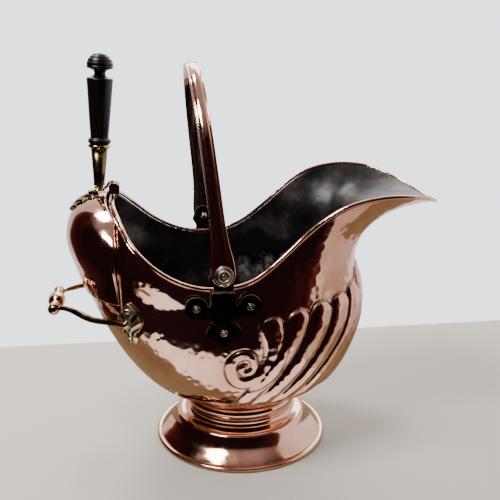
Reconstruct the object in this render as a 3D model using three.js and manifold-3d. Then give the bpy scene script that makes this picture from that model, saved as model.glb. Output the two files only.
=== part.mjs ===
// A copper helmet coal scuttle on a spun foot, with its swinging bail, its fixed rear
// handle and the hooded shovel that hangs on its back. Millimetres, +Z up, +X to the spout,
// origin on the ground under the middle of the foot.
import * as THREE from 'three';
import { mergeVertices } from 'three/addons/utils/BufferGeometryUtils.js';
import Module from 'manifold-3d';

const wasm = await Module();
wasm.setup();

const DEG = Math.PI / 180;

// ---------------------------------------------------------------- driving dimensions
const SHEET = 1.2; // copper sheet of the body, foot and shovel
const SEAT = 0.3; // air between pieces that touch
const FOOT_RADIUS = 105; // over the rolled edge
const FOOT_HEIGHT = 59; // ground to the flat bottom of the bowl
const NECK_RADIUS = 60; // where the bowl sits on the foot
const EDGE_ROLL = 3; // radius of the foot's rolled edge
const RIM_ROLL = 2.2; // radius of the wired rim
const LOBE_HEIGHT = 6; // how far the gadroons stand out of the bowl
const PIVOT_X = -33; // bail pivots
const PIVOT_Z = 249.5;
const LUG_FACE = 125; // flat inner face of the lug plates, from the middle
const LUG_THICK = 3;
const LUG_STEP = 1.6; // the ear steps out by this much to clear the wired rim
const PIVOT_PIN = 3.5; // radius
const RUNNING = 0.3; // running clearance round the pivot pins
const SWING_GAP = 0.5; // between the lugs' ears and the bail
const BAIL_HEIGHT = 203; // pivot to the middle of the strap at the top
const BAIL_WIDTH = 15;
const BAIL_THICK = 5;
const BAIL_EYE = 12.5; // radius of the flat eye at each end
const BAIL_LEAN = 5.7 * DEG; // how far it leans back as it stands
const RIVET_HEAD = 4;
const RIVET_SHANK = 2;
const SHOVEL_TILT = 3.54 * DEG; // the shovel handle leans forward as it hangs
const SHOVEL_X = -159.6; // lower end of the shovel's ferrule
const SHOVEL_Z = 319;
const TANG_RADIUS = 3;
const TANG_BORE = 3.4;
const GRIP_X = -216; // rear handle's grip
const GRIP_Z = 184;
const GRIP_LENGTH = 56;
const GRIP_RADIUS = 9.5;
const GRIP_ROD = 2.5;

// ---------------------------------------------------------------- splines
// Cubic spline through the given values. With level ends it starts and ends flat.
function splineThrough(knots, values, levelEnds = false) {
  const last = knots.length - 1;
  const lower = new Array(last + 1).fill(0);
  const diagonal = new Array(last + 1).fill(1);
  const upper = new Array(last + 1).fill(0);
  const right = new Array(last + 1).fill(0);
  const gap = (i) => knots[i + 1] - knots[i];
  const rise = (i) => (values[i + 1] - values[i]) / gap(i);
  for (let i = 1; i < last; i += 1) {
    lower[i] = gap(i - 1);
    diagonal[i] = 2 * (gap(i - 1) + gap(i));
    upper[i] = gap(i);
    right[i] = 6 * (rise(i) - rise(i - 1));
  }
  if (levelEnds) {
    diagonal[0] = 2 * gap(0);
    upper[0] = gap(0);
    right[0] = 6 * rise(0);
    diagonal[last] = 2 * gap(last - 1);
    lower[last] = gap(last - 1);
    right[last] = -6 * rise(last - 1);
  }
  for (let i = 1; i <= last; i += 1) {
    const share = lower[i] / diagonal[i - 1];
    diagonal[i] -= share * upper[i - 1];
    right[i] -= share * right[i - 1];
  }
  const bend = new Array(last + 1).fill(0);
  bend[last] = right[last] / diagonal[last];
  for (let i = last - 1; i >= 0; i -= 1) bend[i] = (right[i] - upper[i] * bend[i + 1]) / diagonal[i];
  return (t) => {
    let i = 0;
    while (i < last - 1 && t > knots[i + 1]) i += 1;
    const step = gap(i);
    const a = (knots[i + 1] - t) / step;
    const b = 1 - a;
    const curve = ((a ** 3 - a) * bend[i] + (b ** 3 - b) * bend[i + 1]) * step * step / 6;
    return a * values[i] + b * values[i + 1] + curve;
  };
}

// ---------------------------------------------------------------- solids
function solidFrom(positions, triangles) {
  const geometry = new THREE.BufferGeometry();
  geometry.setAttribute('position', new THREE.Float32BufferAttribute(positions, 3));
  let volume = 0;
  const corner = [new THREE.Vector3(), new THREE.Vector3(), new THREE.Vector3()];
  for (let i = 0; i < triangles.length; i += 3) {
    corner.forEach((v, k) => v.fromArray(positions, 3 * triangles[i + k]));
    volume += corner[0].dot(corner[1].clone().cross(corner[2]));
  }
  geometry.setIndex(volume > 0 ? triangles : triangles.reverse());
  return geometry;
}

// Skins a stack of rings of points. A closed stack joins its last ring to its first; an open
// one is capped with a fan, or with a strip across a thin ring.
function skinRings(rings, { closed = false, strip = false } = {}) {
  const count = rings[0].length;
  const positions = rings.flatMap((ring) => ring.flatMap((p) => [p.x, p.y, p.z]));
  const triangles = [];
  const joints = closed ? rings.length : rings.length - 1;
  for (let i = 0; i < joints; i += 1) {
    const here = i * count;
    const next = ((i + 1) % rings.length) * count;
    for (let j = 0; j < count; j += 1) {
      const k = (j + 1) % count;
      triangles.push(here + j, here + k, next + k, here + j, next + k, next + j);
    }
  }
  if (!closed && strip) {
    for (const [start, turn] of [[0, true], [(rings.length - 1) * count, false]]) {
      for (let j = 0; j < count / 2 - 1; j += 1) {
        const [a, b, c, d] = [j, j + 1, count - 2 - j, count - 1 - j].map((k) => start + k);
        triangles.push(...(turn ? [a, c, b, a, d, c] : [a, b, c, a, c, d]));
      }
    }
  } else if (!closed) {
    for (const [ring, start, turn] of [[rings[0], 0, true], [rings.at(-1), (rings.length - 1) * count, false]]) {
      const middle = positions.length / 3;
      const centre = ring.reduce((sum, p) => sum.add(p), new THREE.Vector3()).divideScalar(count);
      positions.push(centre.x, centre.y, centre.z);
      for (let j = 0; j < count; j += 1) {
        const k = (j + 1) % count;
        triangles.push(...(turn ? [start + k, start + j, middle] : [start + j, start + k, middle]));
      }
    }
  }
  return solidFrom(positions, triangles);
}

// A plate between two curved faces: outer(u, v) and inner(u, v) with u and v from 0 to 1.
function plateBetween(outer, inner, across, along) {
  const rings = [];
  for (let i = 0; i <= along; i += 1) {
    const ring = [];
    for (let j = 0; j <= across; j += 1) ring.push(outer(j / across, i / along));
    for (let j = across; j >= 0; j -= 1) ring.push(inner(j / across, i / along));
    rings.push(ring);
  }
  return skinRings(rings, { strip: true });
}

// A turned piece: profile points [radius, height] round the Z axis. It may have a bore.
function turned(profile, segments) {
  const points = profile.map(([radius, height]) => new THREE.Vector2(radius, height));
  return welded(new THREE.LatheGeometry(points, segments).rotateX(90 * DEG));
}

function welded(geometry) {
  geometry.deleteAttribute('normal');
  geometry.deleteAttribute('uv');
  const merged = mergeVertices(geometry, 1e-4);
  const index = Array.from(merged.index.array);
  const kept = [];
  for (let i = 0; i < index.length; i += 3) {
    const [a, b, c] = [index[i], index[i + 1], index[i + 2]];
    if (a !== b && b !== c && c !== a) kept.push(a, b, c);
  }
  return solidFrom(Array.from(merged.attributes.position.array), kept);
}

function toSolid(geometry) {
  const merged = welded(geometry.clone());
  return new wasm.Manifold(new wasm.Mesh({
    numProp: 3,
    vertProperties: merged.attributes.position.array,
    triVerts: new Uint32Array(merged.index.array),
  }));
}

function fromSolid(solid) {
  const mesh = solid.getMesh();
  const geometry = new THREE.BufferGeometry();
  geometry.setAttribute('position', new THREE.BufferAttribute(mesh.vertProperties, 3));
  geometry.setIndex(new THREE.BufferAttribute(mesh.triVerts, 1));
  return geometry;
}

const joined = (...pieces) => fromSolid(pieces.map(toSolid).reduce((a, b) => a.add(b)));
const cut = (piece, ...tools) => fromSolid(tools.map(toSolid).reduce((a, b) => a.subtract(b), toSolid(piece)));

function mirroredAcrossMiddle(geometry) {
  const positions = Array.from(geometry.attributes.position.array);
  for (let i = 1; i < positions.length; i += 3) positions[i] = -positions[i];
  return solidFrom(positions, Array.from(geometry.index.array));
}

function moved(geometry, x, y, z) {
  return geometry.clone().translate(x, y, z);
}

// ---------------------------------------------------------------- the bowl's form
// Each ring gives the bowl's radius and height at these angles from the spout to the back.
const RING_ANGLES = [0, 45, 90, 135, 180];
const BODY_RINGS = [
  { radius: RING_ANGLES.map(() => NECK_RADIUS), height: RING_ANGLES.map(() => FOOT_HEIGHT) },
  { radius: [93, 92, 90, 94, 98], height: [77, 77, 76, 76, 76] },
  { radius: [118, 113, 107, 119, 127], height: [104, 103, 101, 102, 103] },
  { radius: [134.5, 125.5, 118, 139, 155], height: [137, 136, 134, 138, 146] },
  { radius: [142.5, 132, 123, 150, 177], height: [180, 178, 172, 180, 196] },
  { radius: [137, 128, 122.5, 152, 187], height: [225, 222, 202, 215, 235] },
];
// The rim: radius and height at each angle. It dips at the bail and sweeps up to the spout.
const RIM_ANGLES = [0, 9, 17, 23, 29, 36, 45, 53, 62, 69, 76, 90, 106, 120, 132, 138, 151, 165, 180];
const RIM_RADII = [229, 226, 221.5, 215, 205, 183, 152.5, 133, 117, 112.5, 110.5, 115.5, 125.5, 140, 156.5, 161, 155,
  149, 145];
const RIM_HEIGHTS = [294, 297.5, 304, 310.5, 316, 318.5, 312, 298, 277, 264, 252.5, 236, 230.3, 236, 256, 270, 291,
  303, 307];
// Half way from the top ring to the rim the wall is drawn in under the spout and out at the back.
const WAIST_SHARE = 0.5;
const WAIST_BULGE = [-42, -8, 0, 9, 20];

const ringSplines = BODY_RINGS.map(({ radius, height }) => ({
  radius: splineThrough(RING_ANGLES, radius, true),
  height: splineThrough(RING_ANGLES, height, true),
}));
const rimRadius = splineThrough(RIM_ANGLES, RIM_RADII, true);
const rimHeight = splineThrough(RIM_ANGLES, RIM_HEIGHTS, true);
const waistBulge = splineThrough(RING_ANGLES, WAIST_BULGE, true);

// The wall's line from the neck (0) to the rim (1) at one angle, and its length.
function wallLine(angle) {
  const folded = Math.abs(Math.atan2(Math.sin(angle), Math.cos(angle))) / DEG;
  const radii = ringSplines.map((ring) => ring.radius(folded));
  const heights = ringSplines.map((ring) => ring.height(folded));
  const shoulder = radii.at(-1);
  const shoulderHeight = heights.at(-1);
  radii.push(THREE.MathUtils.lerp(shoulder, rimRadius(folded), WAIST_SHARE) + waistBulge(folded), rimRadius(folded));
  heights.push(THREE.MathUtils.lerp(shoulderHeight, rimHeight(folded), WAIST_SHARE), rimHeight(folded));
  const lengths = [0];
  for (let i = 1; i < radii.length; i += 1) {
    lengths.push(lengths[i - 1] + Math.hypot(radii[i] - radii[i - 1], heights[i] - heights[i - 1]));
  }
  const length = lengths.at(-1);
  const knots = lengths.map((reach) => reach / length);
  return { radius: splineThrough(knots, radii), height: splineThrough(knots, heights), knots, length };
}

function wallPoint(angle, share, line = wallLine(angle)) {
  const radius = line.radius(share);
  return new THREE.Vector3(radius * Math.cos(angle), radius * Math.sin(angle), line.height(share));
}

function wallNormal(angle, share) {
  const small = 0.002;
  const round = wallPoint(angle + small, share).sub(wallPoint(angle - small, share));
  const up = wallPoint(angle, Math.min(share + small, 1)).sub(wallPoint(angle, Math.max(share - small, 0)));
  return round.cross(up).normalize();
}

// The share of the wall's line at which it reaches a height.
function shareAtHeight(angle, height) {
  const line = wallLine(angle);
  let low = 0;
  let high = 1;
  for (let i = 0; i < 30; i += 1) {
    const middle = (low + high) / 2;
    if (line.height(middle) < height) low = middle;
    else high = middle;
  }
  return low;
}

// The share at which the sheet stops, a seat's width short of the wired rim.
function edgeShare(angle) {
  const small = 0.004;
  const along = wallPoint(angle + small, 1).sub(wallPoint(angle - small, 1)).normalize();
  const up = wallPoint(angle, 1).sub(wallPoint(angle, 1 - small)).normalize();
  return 1 - (RIM_ROLL + 2 * SEAT) / (along.cross(up).length() * wallLine(angle).length);
}

function offWall(angle, share, distance) {
  return wallPoint(angle, share).addScaledVector(wallNormal(angle, share), distance);
}

// ---------------------------------------------------------------- gadroons and scrolls
const LOBE_STEP = 13.3; // degrees between gadroons
const LOBE_TOPS = [225, 221, 212, 209, 206, 202]; // heights of the tops, from the middle one back
const LOBE_FOOT = [72, 92]; // they die away between these heights
// The gadroons sweep back towards the foot: this many degrees in the first 100 mm down.
const SWEEP = 25;
const SWEEP_TOP = 200;
const SWEEP_FOOT = 80;
const SWEEP_POWER = 1.6;
// Middle line of the scroll behind the last gadroon, as [x, z], and half its width there.
const SCROLL_LINE = [[19, 184], [21.5, 170], [22.5, 155], [17, 136], [4, 122]];
const SCROLL_HALF = [13.5, 13, 12, 11, 8];
const SCROLL_SAMPLES = 30;

const scrollKnots = SCROLL_LINE.map((point, i) => i / (SCROLL_LINE.length - 1));
const scrollX = splineThrough(scrollKnots, SCROLL_LINE.map(([x]) => x));
const scrollZ = splineThrough(scrollKnots, SCROLL_LINE.map(([, z]) => z));
const scrollHalf = splineThrough(scrollKnots, SCROLL_HALF);
const scrollBeads = Array.from({ length: SCROLL_SAMPLES + 1 }, (unused, i) => {
  const t = i / SCROLL_SAMPLES;
  return { x: scrollX(t), z: scrollZ(t), half: scrollHalf(t) };
});

// A gadroon keeps one bearing (its angle at the top) all the way down. This is the angle on the
// bowl of a bearing at a height, in degrees.
function sweptAngle(bearing, height) {
  const drop = Math.max(0, SWEEP_TOP - Math.max(height, SWEEP_FOOT)) / 100;
  const side = Math.abs(bearing);
  const share = THREE.MathUtils.smoothstep(side, 0, 28) * (1 - THREE.MathUtils.smoothstep(side, 60, 175));
  return bearing + Math.sign(bearing) * SWEEP * drop ** SWEEP_POWER * share;
}

// How far the sheet is worked outwards at a point of the wall, as a share of LOBE_HEIGHT.
function relief(bearing, point) {
  const side = Math.abs(bearing);
  const lobe = Math.min(Math.round(side / LOBE_STEP), LOBE_TOPS.length - 1);
  const across = (side - lobe * LOBE_STEP) / (LOBE_STEP / 2);
  const half = Math.hypot(point.x, point.y) * (LOBE_STEP / 2) * DEG;
  const overTop = Math.max(0, (point.z - LOBE_TOPS[lobe] + half) / half);
  const fade = THREE.MathUtils.smoothstep(point.z, LOBE_FOOT[0], LOBE_FOOT[1]);
  let best = fade * Math.sqrt(Math.max(0, 1 - across ** 2 - overTop ** 2));
  for (const bead of scrollBeads) {
    const off = Math.hypot(point.x - bead.x, point.z - bead.z) / bead.half;
    if (off < 1) best = Math.max(best, Math.sqrt(1 - off ** 2));
  }
  return best;
}

// ---------------------------------------------------------------- body
// The wall's rows, counted in rings from the neck (0) to the rim (7): closest at the gadroons' tops.
const WALL_ROWS = [0, 0.6, 1.2, 1.8, 2.4, 3, 3.5, 4, 4.4, 4.75, 5.1, 5.5, 5.9, 6.25, 6.5, 6.75, 7];
const COLUMNS_PER_LOBE = 4;
const LOBED_COLUMNS = COLUMNS_PER_LOBE * (2 * LOBE_TOPS.length - 1);
const PLAIN_COLUMNS = 30;

// Bearings of the wall's columns: on the crests, valleys and flanks, then even round the back.
function wallBearings() {
  const lobedHalf = LOBE_STEP * (LOBE_TOPS.length - 0.5);
  const bearings = [];
  for (let j = 0; j < LOBED_COLUMNS; j += 1) bearings.push(-lobedHalf + 2 * lobedHalf * j / LOBED_COLUMNS);
  for (let j = 0; j < PLAIN_COLUMNS; j += 1) {
    const bearing = lobedHalf + (360 - 2 * lobedHalf) * j / PLAIN_COLUMNS;
    bearings.push(bearing > 180 ? bearing - 360 : bearing);
  }
  return bearings;
}

function wallGridPoint(bearing, row) {
  let angle = bearing * DEG;
  let share = 0;
  for (let i = 0; i < 5; i += 1) {
    const line = wallLine(angle);
    const ring = Math.min(Math.floor(row), line.knots.length - 2);
    share = THREE.MathUtils.lerp(line.knots[ring], line.knots[ring + 1], row - ring) * edgeShare(angle);
    angle = sweptAngle(bearing, line.height(share)) * DEG;
  }
  return { angle, share };
}

function bodyShell() {
  const bearings = wallBearings();
  const outer = [];
  const inner = [];
  for (const row of WALL_ROWS) {
    const outerRing = [];
    const innerRing = [];
    for (const bearing of bearings) {
      const { angle, share } = wallGridPoint(bearing, row);
      const point = wallPoint(angle, share);
      const normal = wallNormal(angle, share);
      const proud = LOBE_HEIGHT * relief(bearing, point);
      outerRing.push(point.clone().addScaledVector(normal, proud));
      innerRing.push(point.clone().addScaledVector(normal, proud - SHEET));
    }
    outer.push(outerRing);
    inner.push(innerRing);
  }
  return skinRings([...outer, ...inner.reverse()]);
}

function rimBead() {
  const steps = 72;
  const sides = 6;
  const rimPoint = (i) => {
    const turn = i / steps;
    return wallPoint(2 * Math.PI * turn - 0.22 * Math.sin(2 * Math.PI * turn), 1);
  };
  const rings = [];
  for (let i = 0; i < steps; i += 1) {
    const along = rimPoint(i + 1).sub(rimPoint(i - 1)).normalize();
    const out = new THREE.Vector3(0, 0, 1).cross(along).normalize();
    const up = along.clone().cross(out);
    const ring = [];
    for (let k = 0; k < sides; k += 1) {
      const a = 2 * Math.PI * k / sides;
      ring.push(rimPoint(i).addScaledVector(out, RIM_ROLL * Math.cos(a)).addScaledVector(up, RIM_ROLL * Math.sin(a)));
    }
    rings.push(ring);
  }
  return skinRings(rings, { closed: true });
}

// ---------------------------------------------------------------- foot
const FOOT_SEGMENTS = 30;
// Outside of the spun foot. The bead and the cove hang from the neck, as [out from it, down from
// the bowl], and the slope rises from the middle of the rolled edge, as [inwards, up].
const NECK_LINE = [[1, 0.4], [2.5, 4], [6, 7.5], [3.5, 11.5], [1.5, 17], [4.5, 22], [12, 25.2]];
const SLOPE_LINE = [[23.5, 28.5], [20.5, 23.5], [17.5, 18], [11, 11.5], [2.1, 3.1]];
const FOOT_LINE = [
  ...NECK_LINE.map(([out, down]) => [NECK_RADIUS + out, FOOT_HEIGHT - down]),
  ...SLOPE_LINE.map(([inwards, up]) => [FOOT_RADIUS - EDGE_ROLL - inwards, EDGE_ROLL + up]),
];

function footPedestal() {
  const inside = [];
  for (let i = FOOT_LINE.length - 1; i >= 0; i -= 1) {
    const before = FOOT_LINE[Math.max(i - 1, 0)];
    const after = FOOT_LINE[Math.min(i + 1, FOOT_LINE.length - 1)];
    const along = new THREE.Vector2(after[0] - before[0], after[1] - before[1]).normalize();
    inside.push([FOOT_LINE[i][0] + SHEET * along.y, FOOT_LINE[i][1] - SHEET * along.x]);
  }
  return turned([...FOOT_LINE, ...inside, FOOT_LINE[0]], FOOT_SEGMENTS);
}

function rolledEdge() {
  const sides = 8;
  const profile = [];
  for (let k = 0; k <= sides; k += 1) {
    const a = 2 * Math.PI * k / sides + Math.PI / sides;
    const round = EDGE_ROLL / Math.cos(Math.PI / sides);
    profile.push([FOOT_RADIUS - EDGE_ROLL + round * Math.cos(a), EDGE_ROLL + round * Math.sin(a)]);
  }
  return turned(profile, FOOT_SEGMENTS);
}

// ---------------------------------------------------------------- lugs and their rivets
function arc(x, y, radius, from, to, steps) {
  return Array.from({ length: steps + 1 }, (unused, i) => {
    const a = (from + (to - from) * i / steps) * DEG;
    return [x + radius * Math.cos(a), y + radius * Math.sin(a)];
  });
}

const LUG_LOBE = { x: 28, z: -36.5, radius: 11.5 }; // side lobes, from the pivot
const LUG_TIP = -82;
const LUG_EAR = 12; // radius of the ear round the pivot
const LUG_RIVETS = [[-LUG_LOBE.x, LUG_LOBE.z], [LUG_LOBE.x, LUG_LOBE.z], [0, -64.5]];

// Trefoil plate: an ear round the pivot, a waist, two round side lobes and a pointed tail.
function lugOutline() {
  const half = [
    ...arc(0, 0, LUG_EAR, 90, -20, 6),
    [7.4, -17.5],
    [7.8, -22],
    ...arc(12, -35.5, 3.6, 180, 340, 4),
    ...arc(LUG_LOBE.x, LUG_LOBE.z, LUG_LOBE.radius, 160, -90, 8),
    [19.5, -48.6],
    ...arc(12, -53, 3.2, 90, 240, 3),
    [17.5, -61.5],
    [18, -66],
    [14.5, -71],
    [6, -75.5],
    [0, LUG_TIP],
  ];
  const other = half.slice(1, -1).reverse().map(([x, z]) => [-x, z]);
  return [...half, ...other];
}

function lugPlate() {
  const shape = new THREE.Shape(lugOutline().map(([x, z]) => new THREE.Vector2(x, z)));
  shape.holes.push(new THREE.Path(arc(0, 0, PIVOT_PIN + RUNNING, 0, 330, 11).map(([x, z]) => new THREE.Vector2(x, z))));
  for (const [x, z] of LUG_RIVETS) {
    const ring = arc(x, z, RIVET_SHANK + SEAT, 0, 315, 7);
    shape.holes.push(new THREE.Path(ring.map(([u, w]) => new THREE.Vector2(u, w))));
  }
  const plate = new THREE.ExtrudeGeometry(shape, { depth: LUG_THICK, bevelEnabled: false });
  plate.rotateX(90 * DEG);
  const place = plate.attributes.position;
  for (let i = 0; i < place.count; i += 1) {
    const step = LUG_STEP * THREE.MathUtils.smoothstep(place.getZ(i), -22, -17.5);
    place.setXYZ(i, place.getX(i) + PIVOT_X, place.getY(i) - LUG_FACE - step, place.getZ(i) + PIVOT_Z);
  }
  return welded(plate);
}

// A round-headed rivet standing on a face, its shank going down through the plate.
function rivet(head, shank, length, segments = 7) {
  return turned([[0, -length], [shank, -length], [shank, 0], [head, 0], [head * 0.8, head * 0.38], [0, head * 0.6]],
    segments);
}

function lugRivet([x, z]) {
  const piece = rivet(RIVET_HEAD, RIVET_SHANK, LUG_THICK);
  piece.rotateX(90 * DEG);
  return moved(piece, PIVOT_X + x, -LUG_FACE - LUG_THICK - SEAT, PIVOT_Z + z);
}

// ---------------------------------------------------------------- pivots
const EAR_FACE = LUG_FACE + LUG_STEP; // inner face of the ear
const EYE_FACE = EAR_FACE + LUG_THICK + SWING_GAP; // inner face of the bail's eye
const EYE_THICK = 3.5;
const WASHER_FACE = EYE_FACE + EYE_THICK + RUNNING;
const WASHER_THICK = 1.6;
const WASHER_RADIUS = 9.5;
const HEAD_FACE = WASHER_FACE + WASHER_THICK + SEAT;
const NUT_RADIUS = 4.6;

function pivotBolt() {
  const shankEnd = EAR_FACE - 4;
  const profile = [[0, shankEnd], [PIVOT_PIN, shankEnd], [PIVOT_PIN, HEAD_FACE], [6.4, HEAD_FACE],
    [6.4, HEAD_FACE + 1.2], [5, HEAD_FACE + 2.4], [3.2, HEAD_FACE + 1.8], [0, HEAD_FACE + 1.6]];
  return turned(profile, 12).rotateX(90 * DEG).translate(PIVOT_X, 0, PIVOT_Z);
}

function pivotWasher() {
  const bore = PIVOT_PIN + RUNNING;
  const top = WASHER_FACE + WASHER_THICK;
  const profile = [[bore, WASHER_FACE], [WASHER_RADIUS, WASHER_FACE], [WASHER_RADIUS, top - 0.4],
    [WASHER_RADIUS - 0.8, top + 0.5], [WASHER_RADIUS - 2, top], [bore, top], [bore, WASHER_FACE]];
  return turned(profile, 12).rotateX(90 * DEG).translate(PIVOT_X, 0, PIVOT_Z);
}

function pivotNut() {
  const face = EAR_FACE - SEAT;
  const bore = PIVOT_PIN + SEAT;
  const profile = [[bore, face], [bore, face - 4.2], [0, face - 4.2], [0, face - 7.2], [2.8, face - 6.4],
    [NUT_RADIUS, face - 3.4], [NUT_RADIUS, face], [bore, face]];
  return turned(profile, 12).rotateX(90 * DEG).translate(PIVOT_X, 0, PIVOT_Z);
}

// ---------------------------------------------------------------- bail
const BAIL_ARCH_POWER = 2.3; // a rounded square arch
const BAIL_SPAN = EYE_FACE + BAIL_THICK / 2;
const BAIL_FLARE = 24; // width where the strap meets the eye
const FLARE_LENGTH = 45;

// The arch stands in its own frame, pivots on the Y axis, before it leans back.
function bailStrap() {
  const steps = 26;
  const start = 0.004;
  const middleLine = (t) => {
    const c = Math.cos(Math.PI * t);
    return new THREE.Vector3(0, Math.sign(c) * -BAIL_SPAN * Math.abs(c) ** (2 / BAIL_ARCH_POWER),
      BAIL_HEIGHT * Math.sin(Math.PI * t) ** (2 / BAIL_ARCH_POWER));
  };
  const rings = [];
  for (let i = 0; i <= steps; i += 1) {
    const t = THREE.MathUtils.lerp(start, 1 - start, i / steps);
    const here = middleLine(t);
    const along = middleLine(t + 0.003).sub(middleLine(t - 0.003)).normalize();
    const across = new THREE.Vector3(1, 0, 0);
    const out = across.clone().cross(along).normalize();
    const low = 1 - THREE.MathUtils.smoothstep(here.z, 12, FLARE_LENGTH);
    const half = (BAIL_WIDTH + (BAIL_FLARE - BAIL_WIDTH) * low) / 2;
    const slim = 1 - THREE.MathUtils.smoothstep(here.z, WASHER_RADIUS + 1, WASHER_RADIUS + 11);
    const crown = (h) => h * BAIL_THICK / 2 - slim * (h + 1) / 2 * (BAIL_THICK - EYE_THICK);
    const section = [[-1, -1], [-1, -0.2], [-0.85, 0.15], [-0.45, 0.8], [0, 1], [0.45, 0.8], [0.85, 0.15], [1, -0.2],
      [1, -1]];
    rings.push(section.map(([w, h]) => here.clone().addScaledVector(across, w * half)
      .addScaledVector(out, crown(h))));
  }
  return skinRings(rings);
}

function bailEye(side) {
  const eye = turned([[0, EYE_FACE], [BAIL_EYE, EYE_FACE], [BAIL_EYE, EYE_FACE + EYE_THICK - 0.8],
    [BAIL_EYE - 1, EYE_FACE + EYE_THICK], [0, EYE_FACE + EYE_THICK]], 16);
  return eye.rotateX(side * 90 * DEG);
}

function bail() {
  const hole = new THREE.CylinderGeometry(PIVOT_PIN + RUNNING, PIVOT_PIN + RUNNING, 4 * BAIL_SPAN, 12);
  return cut(joined(bailStrap(), bailEye(1), bailEye(-1)), hole);
}

// ---------------------------------------------------------------- shovel
const BLADE_LIP = 205; // height of the blade's lower lip as it hangs
const BLADE_TOP_SHARE = 0.965;
const BLADE_EDGE_GAP = 1;
// From the lip (0) to the top (1): how far the hood stands off the scuttle's back along its
// middle, and half its width in degrees.
const bladeDepth = splineThrough([0, 0.15, 0.3, 0.45, 0.6, 0.75, 0.88, 1], [1, 2, 4.5, 8, 11, 14.5, 13.5, 6]);
const bladeHalf = splineThrough([0, 0.4, 0.7, 0.85, 1], [31.5, 33, 34, 32.5, 26]);
const BLADE_FULLNESS = 0.75;

function bladePoint(across, up, lift) {
  const side = 2 * across - 1;
  const angle = Math.PI + side * bladeHalf(up) * DEG;
  const share = THREE.MathUtils.lerp(shareAtHeight(angle, BLADE_LIP), BLADE_TOP_SHARE, up);
  const hood = bladeDepth(up) * Math.max(0, 1 - side ** 2) ** BLADE_FULLNESS;
  return offWall(angle, share, BLADE_EDGE_GAP + hood + lift);
}

function shovelBlade() {
  return plateBetween((u, v) => bladePoint(u, v, SHEET), (u, v) => bladePoint(u, v, 0), 16, 10);
}

// Turned handle, along its own axis from the ferrule's lower end.
const FERRULE_TOP = 39.8;
const COLLAR_TOP = 46.6;
const HANDLE_TOP = 144.3;

function shovelFerrule() {
  return turned([[TANG_BORE, 0], [6.3, 0], [6.6, 2], [6, 3.4], [9.2, FERRULE_TOP], [TANG_BORE, FERRULE_TOP],
    [TANG_BORE, 0]], 16);
}

function shovelCollar() {
  const low = FERRULE_TOP + SEAT;
  return turned([[TANG_BORE, low], [10.5, low], [12.2, low + 1.6], [11, low + 3], [12.4, low + 4.6],
    [11, COLLAR_TOP], [TANG_BORE, COLLAR_TOP], [TANG_BORE, low]], 16);
}

function shovelHandle() {
  const low = COLLAR_TOP + SEAT;
  return turned([[TANG_BORE, low], [10.5, low], [12.5, low + 3.6], [10.2, 54], [10.4, 58], [13.9, 115], [14.3, 118.5],
    [13, 120.5], [6.1, 123.6], [8.5, 127.4], [14, 128.6], [14.5, 131.5], [13.2, 137], [9, 142], [0, HANDLE_TOP],
    [0, 112], [TANG_BORE, 110], [TANG_BORE, low]], 16);
}

function shovelTang() {
  return turned([[0, -1], [TANG_RADIUS, -1], [TANG_RADIUS, 104], [0, 108]], 10);
}

// A cast leaf lies on the hood's crown. Its stem carries the tang and curls forward into a tail
// that hangs on the keeper.
const LEAF_TOP = 0.95; // of the way from the blade's lip to its top
const LEAF_END = 0.72;
const LEAF_HALF = 9.5;
const LEAF_THICK = 2.2;
const TAIL_HALF = 4.5;
const TAIL_THICK = 2.4;
const TAIL_LINE = [[-172, 311.5], [-166, 313.6], [-160, 314.5], [-154.8, 315.1], [-151.2, 317.4], [-149.4, 320.4],
  [-147, 322.5], [-143.5, 322.6]]; // [x, z]

function leafPoint(across, along, lift) {
  const side = 2 * across - 1;
  const scallop = 1 - 0.14 * Math.cos(6 * Math.PI * along);
  const outline = Math.sin(Math.PI * (0.22 + 0.76 * along)) ** 0.6 * scallop;
  const up = THREE.MathUtils.lerp(LEAF_TOP, LEAF_END, along);
  const halfArc = Math.abs(bladePoint(0.5, up, 0).x) * bladeHalf(up) * DEG;
  return bladePoint(0.5 + side * LEAF_HALF * outline / (2 * halfArc), up, SHEET + SEAT + lift);
}

// A flat strip of even width along a line of [x, z] points, lying across the Y axis.
function strip(line, half, thick) {
  const rings = line.map(([x, z], i) => {
    const [x0, z0] = line[Math.max(i - 1, 0)];
    const [x1, z1] = line[Math.min(i + 1, line.length - 1)];
    const along = new THREE.Vector2(x1 - x0, z1 - z0).normalize().multiplyScalar(thick / 2);
    return [[-half, 1], [half, 1], [half, -1], [-half, -1]].map(([y, face]) =>
      new THREE.Vector3(x - face * along.y, y, z + face * along.x));
  });
  return skinRings(rings, { strip: true });
}

function shovelLeaf() {
  const rib = (u, v) => LEAF_THICK + 1.6 * (1 - Math.abs(2 * u - 1)) * (1 - 0.5 * v);
  const leaf = plateBetween((u, v) => leafPoint(u, v, rib(u, v)), (u, v) => leafPoint(u, v, 0), 4, 11);
  const boss = turned([[0, -6], [6, -6], [5.4, -1.5 - SEAT], [0, -1.5 - SEAT]], 14);
  boss.rotateY(SHOVEL_TILT).translate(SHOVEL_X, 0, SHOVEL_Z);
  return joined(leaf, strip(TAIL_LINE, TAIL_HALF, TAIL_THICK), boss);
}

// ---------------------------------------------------------------- shovel keeper
const KEEPER_HALF = 7;
const KEEPER_THICK = 1.5;
const KEEPER_SHARES = [0.88, 0.93];
const KEEPER_GAP = 1; // from the curved wall
const KEEPER_FRONT = -138.8; // middle of the strip where it rises past the rim
const CAP = { front: -138, back: -148.5, low: 310, high: 320.9, corner: 2.3 }; // its folded head

function keeperFlange() {
  return KEEPER_SHARES.map((share) => offWall(Math.PI, share, -SHEET - KEEPER_GAP - KEEPER_THICK / 2));
}

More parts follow.
